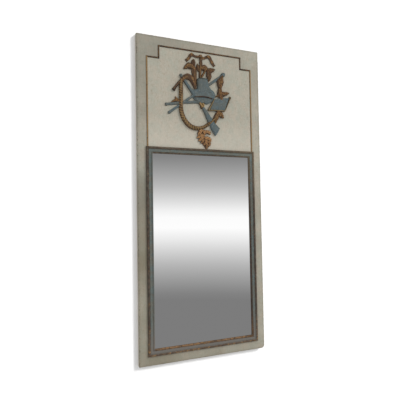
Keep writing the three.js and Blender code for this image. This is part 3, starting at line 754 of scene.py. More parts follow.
def plank(node, outline, back, material):
    """One board piece: the face outline in (x, z), anticlockwise, each point with whether the side
    after it is an outer one, rounded and chipped by use."""
    places, inwards = walk(outline)
    wear = [wear_at(*place) for place in places]
    rings, painted = [], []
    # From the face to the back: how far in and how deep in wears, or the Y itself, and the coat.
    section = (
        (1.0, 0.0, None, 1),
        (0.55, 0.12, None, 1),
        (0.2, 0.42, None, 1),
        (0.0, 1.0, None, 1),
        (0.0, 0.0, back - PAINT_EDGE, 1),
        (0.0, 0.0, back - PAINT_EDGE + 0.2 * MM, 0),
        (0.35, 0.0, back, 0),
    )
    for inset, sink, level, coat in section:
        for place, inward, amount in zip(places, inwards, wear):
            spot = place + inward * (inset * amount)
            y = BOARD_FRONT + sink * amount if level is None else level
            rings.append((spot.x, y, spot.y))
            painted.append(coat)
    faces = capped_grid(len(section), len(places))
    return piece_from(
        "painted_" + node, rings, faces, material, "cream_paint", node, painted=painted
    )


def build_board():
    low = BOARD_FOOT
    top = BOARD_TOP
    side = BOARD_SIDE
    bottom_rail_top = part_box("bottom_rail")[1].z
    middle_low, middle_high = (corner.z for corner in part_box("middle_rail"))
    top_rail_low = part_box("top_rail")[0].z
    # The lower right corner is worn round.
    corner = 15 * MM
    corner_steps = 7
    round_corner = []
    for step in range(corner_steps + 1):
        angle = -math.pi / 2 + math.pi / 2 * step / corner_steps
        centre = (side - corner, low + corner)
        spot = (centre[0] + corner * math.cos(angle), centre[1] + corner * math.sin(angle))
        round_corner.append((spot, True))
    left = [
        ((-side, low), True),
        ((-OPENING, low), False),
        ((-OPENING, top), True),
        ((-side, top), True),
    ]
    right = [((OPENING, low), True), *round_corner, ((side, top), True), ((OPENING, top), False)]
    plank("left_stile", left, BOARD_BACK, BOARD_UPRIGHT)
    plank("right_stile", right, BOARD_BACK, BOARD_UPRIGHT)
    for node, z0, z1, foot_worn, head_worn, back in (
        ("bottom_rail", low, bottom_rail_top, True, False, BOARD_BACK),
        ("middle_rail", middle_low, middle_high, False, False, BOARD_BACK),
        ("top_rail", top_rail_low, top, False, True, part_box("top_rail")[1].y),
        ("upper_panel", middle_high, top_rail_low, False, False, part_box("upper_panel")[1].y),
    ):
        outline = [
            ((-OPENING, z0), foot_worn),
            ((OPENING, z0), False),
            ((OPENING, z1), head_worn),
            ((-OPENING, z1), False),
        ]
        plank(node, outline, back, BOARD_UPRIGHT if node == "upper_panel" else BOARD_LEVEL)


# ---------------------------------------------------------------- Mitred runs


def mitred_run(name, node, start, end, turn_in, turn_out, profile, material, slot, step, wear):
    """A strip on the board's face from start to end, (x, z). The profile gives (across, height),
    across to the left of the run, and the turns of 1, 0 or -1 mitre its ends."""
    start, end = Vector(start), Vector(end)
    ahead = (end - start).normalized()
    left = Vector((-ahead.y, ahead.x))
    length = (end - start).length
    rows = max(2, round(length / step))
    verts, run, crest = [], [], []
    highest = max(height for _, height in profile)
    for row in range(rows + 1):
        part = row / rows
        for across, height in profile:
            first = turn_in * across
            last = length - turn_out * across
            along = first + (last - first) * part
            spot = start + ahead * along + left * across
            rubbed = 0.0
            if height > 0:
                rubbed = wear * height / highest * (1 + wander(spot.x, height, spot.y, 0.02, 5.0))
            verts.append((spot.x, BOARD_FRONT - max(height - rubbed, 0.0), spot.y))
            run.append((along, across))
            crest.append(height / highest)
    faces = capped_grid(rows + 1, len(profile))
    return piece_from(name, verts, faces, material, slot, node, run=run, crest=crest)


def arc(across, height, half_width, rise, start, end, steps):
    """Points of a round from one angle to another, in degrees."""
    points = []
    for step in range(steps + 1):
        angle = math.radians(start + (end - start) * step / steps)
        points.append((across + half_width * math.cos(angle), height + rise * math.sin(angle)))
    return points


def moulding_profile():
    """From the sight edge outwards: a low bead, a cove with a small step, and a high bead."""
    bead, cove, outer = 6.5, 12.0, 11.0
    cove_end = bead + cove
    points = [(0, 0), (0, 2.2), *arc(bead / 2, 2.4, bead / 2, 2.6, 172, 8, 9), (bead, 2.0)]
    for step in range(7):
        part = step / 6
        dip = 4.6 + 1.5 * part ** 1.6 - 0.35 * math.sin(math.pi * part)
        points.append((bead + 0.5 + (cove - 1.0) * part, dip))
    points += [(cove_end, 5.0), *arc(cove_end + outer / 2, 4.5, outer / 2, 5.0, 172, 0, 11)]
    points.append((cove_end + outer, 0))
    return [(across * MM, height * MM) for across, height in points]


def build_moulding():
    inner = MOULDING_OUT - MOULDING_WIDTH
    foot = MOULDING_FOOT + MOULDING_WIDTH
    head = MOULDING_TOP - MOULDING_WIDTH
    # Each run keeps the mirror on its right, so that across grows away from it.
    corners = {
        "moulding_top": ((-inner, head), (inner, head)),
        "moulding_right": ((inner, head), (inner, foot)),
        "moulding_bottom": ((inner, foot), (-inner, foot)),
        "moulding_left": ((-inner, foot), (-inner, head)),
    }
    profile = moulding_profile()
    for node, (start, end) in corners.items():
        mitred_run(
            "painted_" + node, node, start, end, -1, -1, profile, MOULDING, "moulding_paint",
            step=5 * MM, wear=0.35 * MM,
        )


def build_fillet():
    outer, inner, step_height, head = FILLET_OUTER, FILLET_INNER, FILLET_STEP, FILLET_HEAD
    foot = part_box("fillet_left_run")[0].z
    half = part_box("fillet_right_run")[1].x - outer
    rise = BOARD_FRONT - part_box("fillet_top")[0].y
    profile = sorted([(-half, 0), *arc(0, 0.1 * rise, half, 0.9 * rise, 172, 8, 9), (half, 0)])
    corners = [
        (-outer, foot),
        (-outer, step_height),
        (-inner, step_height),
        (-inner, head),
        (inner, head),
        (inner, step_height),
        (outer, step_height),
        (outer, foot),
    ]
    names = ("left_run", "left_step", "left_drop", "top", "right_drop", "right_step", "right_run")
    turns = [0, -1, 1, -1, -1, 1, -1, 0]
    for index, name in enumerate(names):
        mitred_run(
            "gilt_fillet_" + name,
            "fillet_" + name,
            corners[index],
            corners[index + 1],
            turns[index],
            turns[index + 1],
            profile,
            # The level lengths take the darker gilding as painted shade of their undersides, which
            # the camera sees from below.
            FILLET_GILDING if name in ("left_run", "right_run") else DARK_GILDING,
            "gilt_fillet",
            step=4 * MM,
            wear=0.25 * MM,
        )


# ---------------------------------------------------------------- Carving

# In the drawing's millimetres: the rows' spacing, and how deep a member goes into the board.
CARVING_STEP = 1.6
BURIED = -0.5


def through(points, spacing):
    """Evenly spaced rows on a smooth curve through drawn rows of numbers, of which the first two
    are the place. Also gives the unit direction at each row."""
    drawn = np.array(points, dtype=float)
    chord = np.concatenate([[0], np.cumsum(np.linalg.norm(np.diff(drawn[:, :2], axis=0), axis=1))])
    count = max(4, int(chord[-1] / spacing) + 1)
    at = np.linspace(0, chord[-1], count)
    slopes = np.gradient(drawn, chord, axis=0)
    span = np.clip(np.searchsorted(chord, at, side="right") - 1, 0, len(chord) - 2)
    width = (chord[span + 1] - chord[span])[:, None]
    t = ((at - chord[span])[:, None]) / width
    a, b = drawn[span], drawn[span + 1]
    da, db = slopes[span] * width, slopes[span + 1] * width
    rows = (
        (2 * t**3 - 3 * t**2 + 1) * a
        + (t**3 - 2 * t**2 + t) * da
        + (-2 * t**3 + 3 * t**2) * b
        + (t**3 - t**2) * db
    )
    ahead = np.gradient(rows[:, :2], axis=0)
    ahead /= np.linalg.norm(ahead, axis=1)[:, None]
    return rows, ahead, chord[-1]


def carve(shape, *line, columns=17, tone=1.0):
    """A carved member along a line of (x, z, width, height) in the drawing's millimetres. The shape
    takes u along, v across from -1 to 1, and the length. It gives the place across in half widths,
    the height in crests, a shift ahead in millimetres and how much gold stays, from 0 to 1, which
    also sets how dark the hollows are, partly as painted shade. A lower tone keeps less gold and so
    darkens the member more."""
    rows, ahead, length = through(line, CARVING_STEP)
    u = np.linspace(0, 1, len(rows))[:, None]
    v = np.linspace(-1, 1, columns)[None, :]
    full = (len(rows), columns)
    across, height, shift, gold = (np.broadcast_to(part, full) for part in shape(u, v, length))
    half = np.maximum(rows[:, 2:3], 0.6) / 2
    x = rows[:, 0:1] - ahead[:, 1:2] * across * half + ahead[:, 0:1] * shift
    z = rows[:, 1:2] + ahead[:, 0:1] * across * half + ahead[:, 1:2] * shift
    h = np.maximum(height * np.maximum(rows[:, 3:4], 0.6), 0.2)
    x = np.hstack([x[:, :1], x, x[:, -1:]])
    z = np.hstack([z[:, :1], z, z[:, -1:]])
    sunk = np.full((len(rows), 1), BURIED)
    tall = np.hstack([sunk, h, sunk])
    shine = np.clip(gold, 0, 1) * tone
    crest = np.hstack([sunk * 0, shine, sunk * 0])
    verts = np.stack([x * MM, BOARD_FRONT - tall * MM, TROPHY_FOOT + z * MM], axis=-1)
    return verts.reshape(-1, 3), capped_grid(len(rows), columns + 2), crest.ravel()


def ends(u, length, soft):
    """1 along the member and falling to 0 in a quarter round at both ends."""
    near = np.minimum(u, 1 - u) * length / soft
    return np.sqrt(np.clip(1 - (1 - np.clip(near, 0, 1)) ** 2, 0, 1))


def rod(flat=0.3, soft=3.0):
    """A half-round rod with softly rounded ends, the flatter the squarer its section."""
    def shape(u, v, length):
        end = ends(u, length, soft)
        side = np.sin(v * math.pi / 2)
        dome = (1 - np.abs(side) ** (2 + 4 * flat)) ** 0.5
        rise = (0.22 + 0.78 * dome) * (0.5 + 0.5 * end)
        return side * (0.55 + 0.45 * end), rise, 0.0, rise * (1 - 0.8 * np.abs(v) ** 4)
    return shape


def leaf(lobes=3, cut=0.30, vein=0.30, curl=0.25, flutes=0.16):
    """A leaf with a grooved midrib, side flutes, lobed edges and a tip that curls up."""
    def shape(u, v, length):
        side = np.abs(v)
        phase = (u * lobes) % 1.0
        notch = np.exp(-((phase - 0.02) / 0.10) ** 2) + np.exp(-((phase - 1.02) / 0.10) ** 2)
        inside = np.clip(u * 6, 0, 1) * np.clip((1 - u) * 5, 0, 1)
        width = 1 - cut * notch * inside
        dome = 0.42 + 0.58 * np.cos(v * math.pi / 2) ** 0.7
        groove = vein * np.exp(-((v / 0.13) ** 2))
        ribs = flutes * np.sin(2 * math.pi * (u * lobes * 2.0 - side * 0.9))
        ribs = ribs * np.clip(side * 2, 0, 1)
        lip = curl * side**4
        rise = np.clip(dome - groove + ribs * 0.7 + lip * 0.5, 0.08, 1.15)
        gold = rise * (1 - 0.85 * side**2.5) - 0.35 * notch * inside * side
        return v * width, rise, 0.0, gold
    return shape


def stalk(strands):
    """A bundle of reeds side by side."""
    def shape(u, v, length):
        reeds = np.abs(np.cos(v * math.pi / 2 * strands))
        dome = 0.5 + 0.5 * np.cos(v * math.pi / 2)
        rise = np.clip(dome * (0.68 + 0.32 * reeds), 0.1, 1)
        return v, rise, 0.0, rise * reeds * (1 - 0.8 * np.abs(v) ** 4)
    return shape


def band(waves, fork=0.0, fold=0.25):
    """A ribbon: hollow in the middle, rising and falling, its end cut to a fork."""
    def shape(u, v, length):
        wave = 0.74 + 0.26 * np.sin(2 * math.pi * waves * u + 0.6)
        hollow = 0.62 + 0.38 * np.abs(v) ** 1.5
        edge = np.where(np.abs(v) > 0.93, 0.75, 1.0)
        crease = fold * np.exp(-(((u - 0.5) / 0.05) ** 2)) * (0.5 + 0.5 * v)
        late = np.clip((u - 0.75) / 0.25, 0, 1)
        back = -fork * (1 - np.abs(v)) * late**2
        gold = 0.62 + 0.35 * (wave - 0.74) / 0.26 * hollow - 0.3 * np.abs(v) ** 4
        return v, np.clip(wave * hollow * edge - crease, 0.1, 1), back, gold
    return shape


def horn_tube(rings, twist=150.0):
    """A round tube with raised rings at the given parts of its length, and a dark groove that
    winds slowly along it, once round in the given millimetres."""
    swell = 0.12

    def shape(u, v, length):
        angle = v * math.pi / 2
        lift = np.zeros_like(u)
        for place in rings:
            lift = lift + swell * np.exp(-(((u - place) * length / 2.2) ** 4))
        wound = 0.42 * np.sin(2 * math.pi * u * length / twist + 0.6)
        groove = np.exp(-(((v - wound) / 0.20) ** 2))
        end = ends(u, length, 2.0)
        dome = 0.12 + 0.80 * np.cos(angle) ** 0.8 - 0.10 * groove
        rise = (dome + lift) * (0.7 + 0.3 * end)
        gold = rise * (1 - 0.9 * np.abs(v) ** 4) * (1 - 0.75 * groove)
        return np.sin(angle) * (0.92 + lift) * (0.8 + 0.2 * end), rise, 0.0, gold
    return shape


def dish(outline, height_at, rings, smooth=True):
    """A carved plate over a closed drawn outline. height_at(r, x, z) gives the height in
    millimetres and the crest value, r being 0 in the middle and 1 on the outline."""
    drawn = np.array(outline, dtype=float)
    if smooth:
        looped = np.vstack([drawn, drawn[:3]])
        rows, _, _ = through(looped, 2.0)
        gaps = np.linalg.norm(rows - drawn[1], axis=1)
        first = int(np.argmin(gaps[: len(rows) // 2]))
        last = len(rows) // 2 + int(np.argmin(gaps[len(rows) // 2:]))
        rim = rows[first:last]
    else:
        sides = []
        for start, end in zip(drawn, np.roll(drawn, -1, axis=0)):
            steps = max(2, int(np.linalg.norm(end - start) / 2.5))
            sides.append(start + (end - start) * np.linspace(0, 1, steps, endpoint=False)[:, None])
        rim = np.concatenate(sides)
    centre = rim.mean(axis=0)
    verts, crest = [], []
    for spot in rim:
        verts.append((spot[0], BURIED, spot[1]))
        crest.append(0.0)
    for ring in range(rings):
        r = 1 - (ring / rings) ** 1.2
        for spot in rim:
            x, z = centre + (spot - centre) * r
            height, shine = height_at(r, x, z)
            verts.append((x, height, z))
            crest.append(shine)
    height, shine = height_at(0, *centre)
    verts.append((centre[0], height, centre[1]))
    crest.append(shine)
    count = len(rim)
    faces = grid_faces(rings + 1, count, around=True)
    tip = len(verts) - 1
    last_ring = rings * count
    for spot in range(count):
        faces.append((last_ring + spot, last_ring + (spot + 1) % count, tip))
    faces.append(tuple(reversed(range(count))))
    drawn_verts = np.array(verts)
    placed = np.stack(
        [
            drawn_verts[:, 0] * MM,
            BOARD_FRONT - drawn_verts[:, 1] * MM,
            TROPHY_FOOT + drawn_verts[:, 2] * MM,
        ],
        axis=-1,
    )
    return placed, faces, np.array(crest)


def carved_piece(node, parts, material, slot):
    verts, faces, crest = join(parts)
    prefix = "gilt_" if slot == "gilding" else "blue_"
    return piece_from(prefix + node, verts, faces, material, slot, node, crest=crest)


def gilt(node, *parts, material=None):
    return carved_piece(node, parts, material or GILDING, "gilding")


def blue(node, *parts):
    return carved_piece(node, parts, BLUE, "blue_paint")


# ---------------------------------------------------------------- The trophy


def build_staffs():
    blue(
        "short_staff",
        carve(
            rod(),
            (-174, 187, 11, 5), (-140, 193, 12, 5.5), (-98, 201.5, 13, 5.5), (-22, 211, 13, 5),
        ),
        carve(rod(), (-175, 186.5, 12, 6), (-168, 188, 13.5, 6.5), (-163, 189, 12, 6)),
    )
    blue(
        "long_staff",
        carve(
            rod(),
            (-160, 149.5, 10.5, 6.5), (-70, 217, 11, 7), (50, 305, 12.5, 7), (110, 350, 10.5, 7),
        ),
        carve(rod(), (-161, 148.5, 10, 7), (-154, 154, 12.5, 7.5), (-148, 158.5, 10.5, 7)),
        carve(rod(), (97, 340.5, 11, 8), (100, 342.5, 13.5, 8.5), (103, 344.5, 11, 8)),
        carve(
            rod(soft=5),
            (102, 344, 10, 8), (106, 347, 16.5, 10), (110, 350.5, 19.5, 10.5), (119, 358.5, 6, 7),
        ),
    )


def build_musket():
    blue(
        "musket_barrel",
        carve(rod(), (-103, 329, 11, 8.5), (-99, 323.5, 14, 9), (-94, 317, 12, 9)),
        carve(
            rod(flat=0.6),
            (-96, 320, 11.5, 8.5), (-78.5, 296, 13, 9), (-67, 281, 14, 9), (-14, 210, 15, 9),
        ),
        carve(rod(), (-51, 261.5, 15.5, 9.4), (-48, 257.5, 15.5, 9.4)),
    )
    gilt(
        "musket_lock",
        carve(rod(flat=0.4), (-12, 209, 11, 9), (-5, 199, 12, 9.5), (3, 187, 12, 9), tone=0.6),
        carve(rod(), (0, 207, 5, 9), (5, 203, 7, 10.5), (8, 195, 6, 10.5), (5, 188, 5, 9.5)),
        carve(rod(), (-9, 190, 3, 8), (-4, 184, 4, 9), (2, 182, 3, 8), tone=0.4),
        material=HORN_GILDING,
    )

    def butt(r, x, z):
        comb = math.exp(-(((x - 60) * 0.83 + (z - 92) * 0.55) / 9) ** 2)
        rise = 6.0 + 3.4 * min(1.0, (1 - r) * 3.2) + 0.6 * comb
        return rise, rise / 10

    outline = [
        (37, 112), (47, 121), (60, 122), (73, 110), (87, 97), (77, 79), (64, 61), (54, 74),
        (42, 94),
    ]
    wrist = [
        (4, 188, 12, 8.5), (11, 178, 15, 9), (21, 163, 20, 9), (32.5, 142, 24.5, 9),
        (50, 114, 30, 9),
    ]
    blue("musket_stock", carve(rod(0.6), *wrist), dish(outline, butt, rings=10, smooth=False))


def build_ribbons():
    gilt(
        "ribbon_left",
        carve(
            band(1.0),
            (-8, 420, 8, 6), (-20, 418.5, 9, 7), (-32, 419, 10, 8), (-41, 424, 12, 8),
            (-49, 427.5, 10, 8),
        ),
        carve(
            band(1.6, fork=6),
            (-44, 430, 9, 8), (-52, 420, 14, 8), (-58, 410, 14, 7), (-66, 400, 13, 6),
            (-75, 393, 14, 5),
        ),
    )
    gilt(
        "ribbon_right",
        carve(band(1.0), (3, 419, 8, 6), (12, 415, 9, 7), (23, 421, 12, 8), (35, 426, 13, 8)),
        carve(
            band(1.8, fork=6),
            (29, 428, 9, 8), (42, 422, 15, 8), (49, 411, 14, 7), (55, 400, 13, 7), (67, 385, 13, 5),
        ),
    )
    gilt(
        "bow_knot",
        carve(rod(soft=5), (-14, 421, 9, 8), (-4, 421, 17, 11), (6, 419, 10, 8), tone=0.7),
        carve(rod(soft=5), (-4.5, 429, 8, 8), (-4, 421, 12, 11), (-3.5, 413, 8, 8), tone=0.8),
        carve(
            band(1.5, fold=0.0),
            (-2.5, 417, 11, 6), (-1.5, 400, 14.5, 6.5), (-1.5, 378, 14, 6),
            tone=0.75,
        ),
    )


def build_leaves():
    gilt(
        "leaf_spray_left",
        carve(
            stalk(3),
            (-36, 368, 22, 8), (-35.5, 352, 26, 8.5), (-34.5, 335, 24, 8.5), (-32.5, 313, 18, 8),
            (-31, 292, 13, 8), (-29, 270, 7, 7),
        ),
        carve(
            leaf(3, cut=0.18),
            (-34, 360, 14, 8), (-48, 369, 26, 10), (-61, 371, 30, 9.5), (-73, 365, 20, 8),
            (-86, 354, 3, 5),
            tone=0.85,
        ),
        carve(
            leaf(1),
            (-38, 366, 14, 7), (-39, 382, 18, 8.5), (-38.5, 394, 19, 8.5), (-35, 404, 9, 5),
            tone=0.45,
        ),
    )
    gilt(
        "leaf_spray_centre",
        carve(stalk(2), (-5, 378, 15, 9), (-6, 350, 13, 8), (-6.5, 322, 12, 7)),
        carve(stalk(1), (24, 370, 10, 8), (12, 346, 9.5, 8), (0, 323, 8, 7)),
        carve(
            leaf(2),
            (-11, 350, 7, 7), (-16, 364, 16, 8), (-18, 374, 14, 8), (-18, 386, 4, 5),
            tone=0.75,
        ),
        carve(
            leaf(3, cut=0.2),
            (-3, 366, 14, 8), (8, 370, 28, 10), (22, 369, 26, 9), (33, 364, 5, 6),
            tone=0.85,
        ),
    )
    gilt(
        "leaf_spray_right",
        carve(
            leaf(3, cut=0.2),
            (24, 359, 10, 7), (38, 362, 22, 10), (51, 364, 22, 9), (62, 368, 13, 7),
            (69, 370, 3, 5),
            tone=0.65,
        ),
        carve(
            leaf(3, cut=0.22),
            (34, 362, 12, 7), (36, 350, 23, 10), (37, 335, 26, 9.5), (36, 321, 18, 8),
            (33, 309, 5, 5),
            tone=0.7,
        ),
    )
    gilt(
        "horn_leaf",
        carve(leaf(2), (-104, 207, 10, 7), (-124, 209, 14, 8), (-147, 199, 3, 4)),
        carve(leaf(1), (-117, 204, 14, 7), (-122, 214, 13, 7), (-127, 226, 3, 4)),
    )
    gilt(
        "leaf_spray_low",
        carve(
            leaf(3),
            (76, 178, 12, 9), (85, 168, 24, 11), (95, 159, 26, 10), (103, 152, 15, 9),
            (109, 148, 4, 6),
        ),
        carve(
            leaf(3, cut=0.22),
            (84, 174, 12, 9), (74, 156, 24, 11), (67, 138, 22, 9.5), (63, 116, 5, 5),
            tone=0.85,
        ),
    )
    gilt(
        "leaf_spray_tall",
        carve(
            leaf(3, cut=0.18),
            (99, 229, 16, 9), (96, 243, 23, 10), (93, 258, 28, 12), (91, 271, 24, 11),
            (92, 283, 16, 10), (92, 291, 14, 10),
            tone=0.85,
        ),
        carve(
            leaf(3, cut=0.12),
            (92, 286, 16, 10), (92, 298, 26, 12), (93, 311, 34, 12), (96, 322, 31, 12),
            (100, 333, 20, 12), (105, 346, 5, 10),
            tone=0.85,
        ),
        carve(
            leaf(2),
            (98, 262, 18, 10), (113, 260, 21, 11), (127, 264, 15, 9), (140, 267, 3, 6),
            tone=0.9,
        ),
        carve(leaf(1), (92, 256, 12, 8), (79, 248, 9, 7), (67, 242, 3, 4)),
    )


COIL_LEFT = [
    (-98, 306, 15, 12), (-99.2, 290, 18, 12), (-100, 253, 20, 12), (-101, 219, 20, 12),
    (-101, 174, 20.5, 12), (-97, 151, 22, 12), (-89, 130.5, 22.5, 12),
]
COIL_BASE = [
    (-89, 130.5, 22.5, 12), (-75.5, 112.5, 23.5, 12), (-58.5, 98.5, 23.5, 12),
    (-33, 91, 21.5, 12), (-12, 91.5, 19, 12), (9, 99, 17, 12), (28, 112, 16.5, 12),
    (46, 126.5, 15, 12), (63, 142.5, 13, 12), (77, 161, 11, 11),
]


def build_horn():
    left = carve(horn_tube(rings=(0.08, 0.56)), *COIL_LEFT, tone=0.55)
    base = carve(horn_tube(rings=(0.5, 0.96)), *COIL_BASE, tone=0.52)
    gilt("horn_coil_left", left, material=HORN_GILDING)
    gilt("horn_coil_base", base, material=HORN_GILDING)
    gilt(
        "horn_crest",
        carve(
            horn_tube(rings=(0.12, 0.72), twist=110.0),
            (-97, 299, 17, 13), (-90.5, 308.5, 21, 13), (-81, 317, 25, 13.5),
            (-67.5, 321.5, 30, 14), (-54.5, 316, 28, 14), (-45, 304, 23, 13),
            (-37.5, 288, 18, 12.5), (-30, 265, 8, 10),
            tone=0.8,
        ),
    )
    gilt(
        "horn_mouthpipe",
        carve(
            horn_tube(rings=(0.2, 0.93)),
            (-102, 299, 12, 11), (-113, 285, 14, 11), (-126, 268, 14, 11), (-137, 253, 17, 11),
        ),
        material=DARK_GILDING,
    )


def build_hat():
    brim = [
        (-43, 262), (-27, 268), (-12, 272), (36, 275), (53, 270), (63, 261), (67, 249), (63, 235),
        (52, 220), (39, 211), (28, 205), (18, 205), (9, 209), (-1, 204), (-12, 202), (-22, 204),
        (-32, 214), (-40, 225), (-44, 236), (-46, 250),
    ]
    braid_height = 234.0

    def felt(r, x, z):
        under = z < braid_height
        rise = 9.8 + 1.6 * math.cos(x / 26) if not under else 6.2 + 0.055 * (z - 209)
        # Lower crests at the rim, and a little below the band, darken the felt there as painted
        # shade.
        rim = 1 - max(0.0, (r - 0.8) / 0.2) ** 2 * 0.4
        ripple = 0.35 * math.sin(x / 9 + z / 21)
        return (rise + ripple) * rim, (0.55 if under else 0.85) * rim

    crown = [
        (2, 318, 48, 12), (2.5, 313, 52, 14.5), (3.5, 302, 54, 15.6), (5.5, 288, 57, 15.6),
        (8, 276, 64, 15), (10, 265, 79, 13), (11, 254, 95, 11.5),
    ]
    lip = [(-24, 313.5, 5, 13.5), (-10, 317, 5.5, 15), (14, 318, 6, 15), (28.5, 314.5, 6, 13.5)]
    blue(
        "hat",
        dish(brim, felt, rings=18),
        carve(rod(flat=0.7, soft=4), *crown, columns=25),
        # The crown's top rim gets a low tone: painted shade along it.
        carve(rod(soft=4), *lip, tone=0.25),
    )
    edge = [
        (-39, 230, 4, 11), (-18, 234, 5.5, 12.5), (8, 236, 6, 13), (33, 234.5, 5.5, 12.5),
        (52, 230, 4, 11),
    ]
    gilt("hat_band", carve(rod(soft=2), *edge, tone=0.7), material=DARK_GILDING)


def build_bag():
    def cloth(r, x, z):
        pillow = 6.2 + 2.4 * (1 - r**3)
        crease = 0.5 * math.sin((x + z * 0.5) / 7.5) * (1 - r)
        return pillow + crease, 0.7 + 0.2 * (1 - r)

    outline = [(64, 233), (137, 243), (113, 181), (40, 180)]
    blue("game_bag", dish(outline, cloth, rings=14, smooth=False))
    gilt(
        "bag_edging",
        carve(rod(), (63.5, 234, 5, 9.5), (48, 206, 6.5, 9.5), (31.5, 176, 9, 9.5)),
        carve(rod(), (29, 177, 5, 9.5), (71, 179.5, 6, 10), (115, 180, 5, 9.5)),
        carve(rod(), (113, 178, 4.5, 9.5), (128.5, 210, 4.5, 10), (143, 243, 6, 9.5), tone=0.85),
        carve(rod(soft=4), (139, 239, 9, 10), (142.5, 244.5, 12.5, 11), (145, 250, 8, 9), tone=0.6),
        material=DULL_GILDING,
    )


def build_drop():
    lobe = leaf(lobes=2, cut=0.30, vein=0.55, curl=0.7, flutes=0.24)
    core = [
        (1, 86, 8, 5.5), (-2, 70, 22, 5.5), (0, 52, 26, 5.5), (12, 32, 34, 5.5),
        (18, 14, 24, 5.5), (18, 2, 8, 4),
    ]
    lobes = (
        ((-1, 87, 9, 9), (-9, 78, 18, 11), (-16, 67, 16, 10), (-21, 57, 5, 6)),
        ((5, 84, 9, 9), (7, 72, 14, 12), (6, 61, 11, 11), (0, 53, 4, 7)),
        ((8, 72, 8, 8), (19, 77, 16, 10), (31, 75, 17, 10), (39, 66, 6, 6)),
        ((3, 64, 7, 9), (-8, 57, 15, 11), (-17, 52, 13, 10), (-28, 48, 5, 5)),
        ((4, 55, 8, 9), (-6, 45, 16, 11), (-12, 39, 13, 9), (-20, 34, 5, 6)),
        ((8, 50, 8, 8), (20, 48, 17, 11), (33, 44, 17, 11), (42, 34, 6, 6)),
        ((1, 42, 7, 9), (-1, 33, 15, 10), (-5, 27, 9, 9), (-9, 24, 4, 6)),
        ((14, 42, 8, 9), (16, 32, 17, 12), (12, 23, 14, 10), (5, 17, 5, 6)),
        ((24, 38, 8, 8), (31, 29, 16, 11), (33, 20, 13, 9), (31, 12, 5, 5)),
        ((16, 26, 9, 9), (20, 16, 18, 11), (20, 7, 14, 8), (17, -1, 5, 4)),
    )
    tones = (0.95, 1.0, 0.85, 1.0, 1.0, 1.0, 0.75, 0.9, 0.75, 0.65)
    gilt(
        "foliage_drop",
        # The core's low tone darkens it where it shows between the lobes, partly as painted shade.
        carve(rod(0.0), *core, tone=0.5),
        *(carve(lobe, *line, tone=tone) for line, tone in zip(lobes, tones)),
        material=LIGHT_GILDING,
    )


# ---------------------------------------------------------------- Repeated small things


def geometry_tree(name, sizes):
    """An empty Geometry Nodes tree with named sizes, and the sockets to build between."""
    tree = bpy.data.node_groups.new(name, "GeometryNodeTree")
    tree.interface.new_socket("Geometry", in_out="INPUT", socket_type="NodeSocketGeometry")
    for label, default in sizes.items():
        socket = tree.interface.new_socket(label, in_out="INPUT", socket_type="NodeSocketFloat")
        socket.default_value = default
    tree.interface.new_socket("Geometry", in_out="OUTPUT", socket_type="NodeSocketGeometry")
    nodes = Nodes(tree)
    return tree, nodes, nodes.add("NodeGroupInput").outputs, nodes.add("NodeGroupOutput").inputs


def finish_tree(nodes, instances, output, material):
    real = nodes.add("GeometryNodeRealizeInstances", {"Geometry": instances}).outputs[0]
    painted = nodes.add("GeometryNodeSetMaterial", {"Geometry": real, "Material": material})
    nodes.feed(output["Geometry"], painted.outputs[0])


def grown(name, tree, source, material, slot, **sizes):
    """Runs a tree on a source mesh or curve and keeps the result as a plain piece."""
    carrier = bpy.data.objects.new(name + "_source", source)
    bpy.context.scene.collection.objects.link(carrier)
    modifier = carrier.modifiers.new("grow", "NODES")
    modifier.node_group = tree
    for item in tree.interface.items_tree:
        if item.in_out == "INPUT" and item.name in sizes:
            modifier[item.identifier] = sizes[item.name]
    graph = bpy.context.evaluated_depsgraph_get()
    mesh = bpy.data.meshes.new_from_object(carrier.evaluated_get(graph))
    bpy.data.objects.remove(carrier)
    mesh.name = name
    mesh.polygons.foreach_set("use_smooth", [True] * len(mesh.polygons))
    mesh.set_sharp_from_angle(angle=math.radians(50))
    return place_piece(name, mesh, material)


def cord_tree():
    """Turns of a thin cord wound round a tube: one slanted turn at each step along the curve."""
    sizes = {"Pitch": 0.011, "Slant": 0.5, "Thickness": 0.11}
    tree, nodes, given, put = geometry_tree("cord wound on the horn", sizes)
    points = nodes.add(
        "GeometryNodeCurveToPoints",
        {"Curve": given["Geometry"], "Length": given["Pitch"]},
        mode="LENGTH",
    )
    turn = nodes.add(
        "GeometryNodeCurveArc",
        {
            "Resolution": 14,
            "Radius": 1.0,
            "Start Angle": math.radians(-28),
            "Sweep Angle": math.radians(236),
        },
        mode="RADIUS",
    ).outputs["Curve"]
    section = nodes.add(
        "GeometryNodeCurvePrimitiveCircle",
        {"Resolution": 6, "Radius": given["Thickness"]},
        mode="RADIUS",
    ).outputs["Curve"]
    cord = nodes.add(
        "GeometryNodeCurveToMesh", {"Curve": turn, "Profile Curve": section, "Fill Caps": True}
    )
    gilded = nodes.add(
        "GeometryNodeStoreNamedAttribute",
        {"Geometry": cord.outputs["Mesh"], "Name": "crest", "Value": 0.8},
        data_type="FLOAT",
        domain="POINT",
    )
    slant = nodes.add(
        "FunctionNodeRotateRotation",
        {"Rotation": points.outputs["Rotation"]},
        rotation_space="LOCAL",
    )
    lean = nodes.add("ShaderNodeCombineXYZ", {"X": given["Slant"]})
    nodes.feed(slant.inputs["Rotate By"], lean.outputs[0])
    radius = nodes.add("GeometryNodeInputRadius").outputs[0]
    placed = nodes.add(
        "GeometryNodeInstanceOnPoints",
        {
            "Points": points.outputs["Points"],
            "Instance": gilded.outputs["Geometry"],
            "Rotation": slant.outputs[0],
            "Scale": radius,
        },
    )
    finish_tree(nodes, placed.outputs[0], put, HORN_GILDING)
    return tree


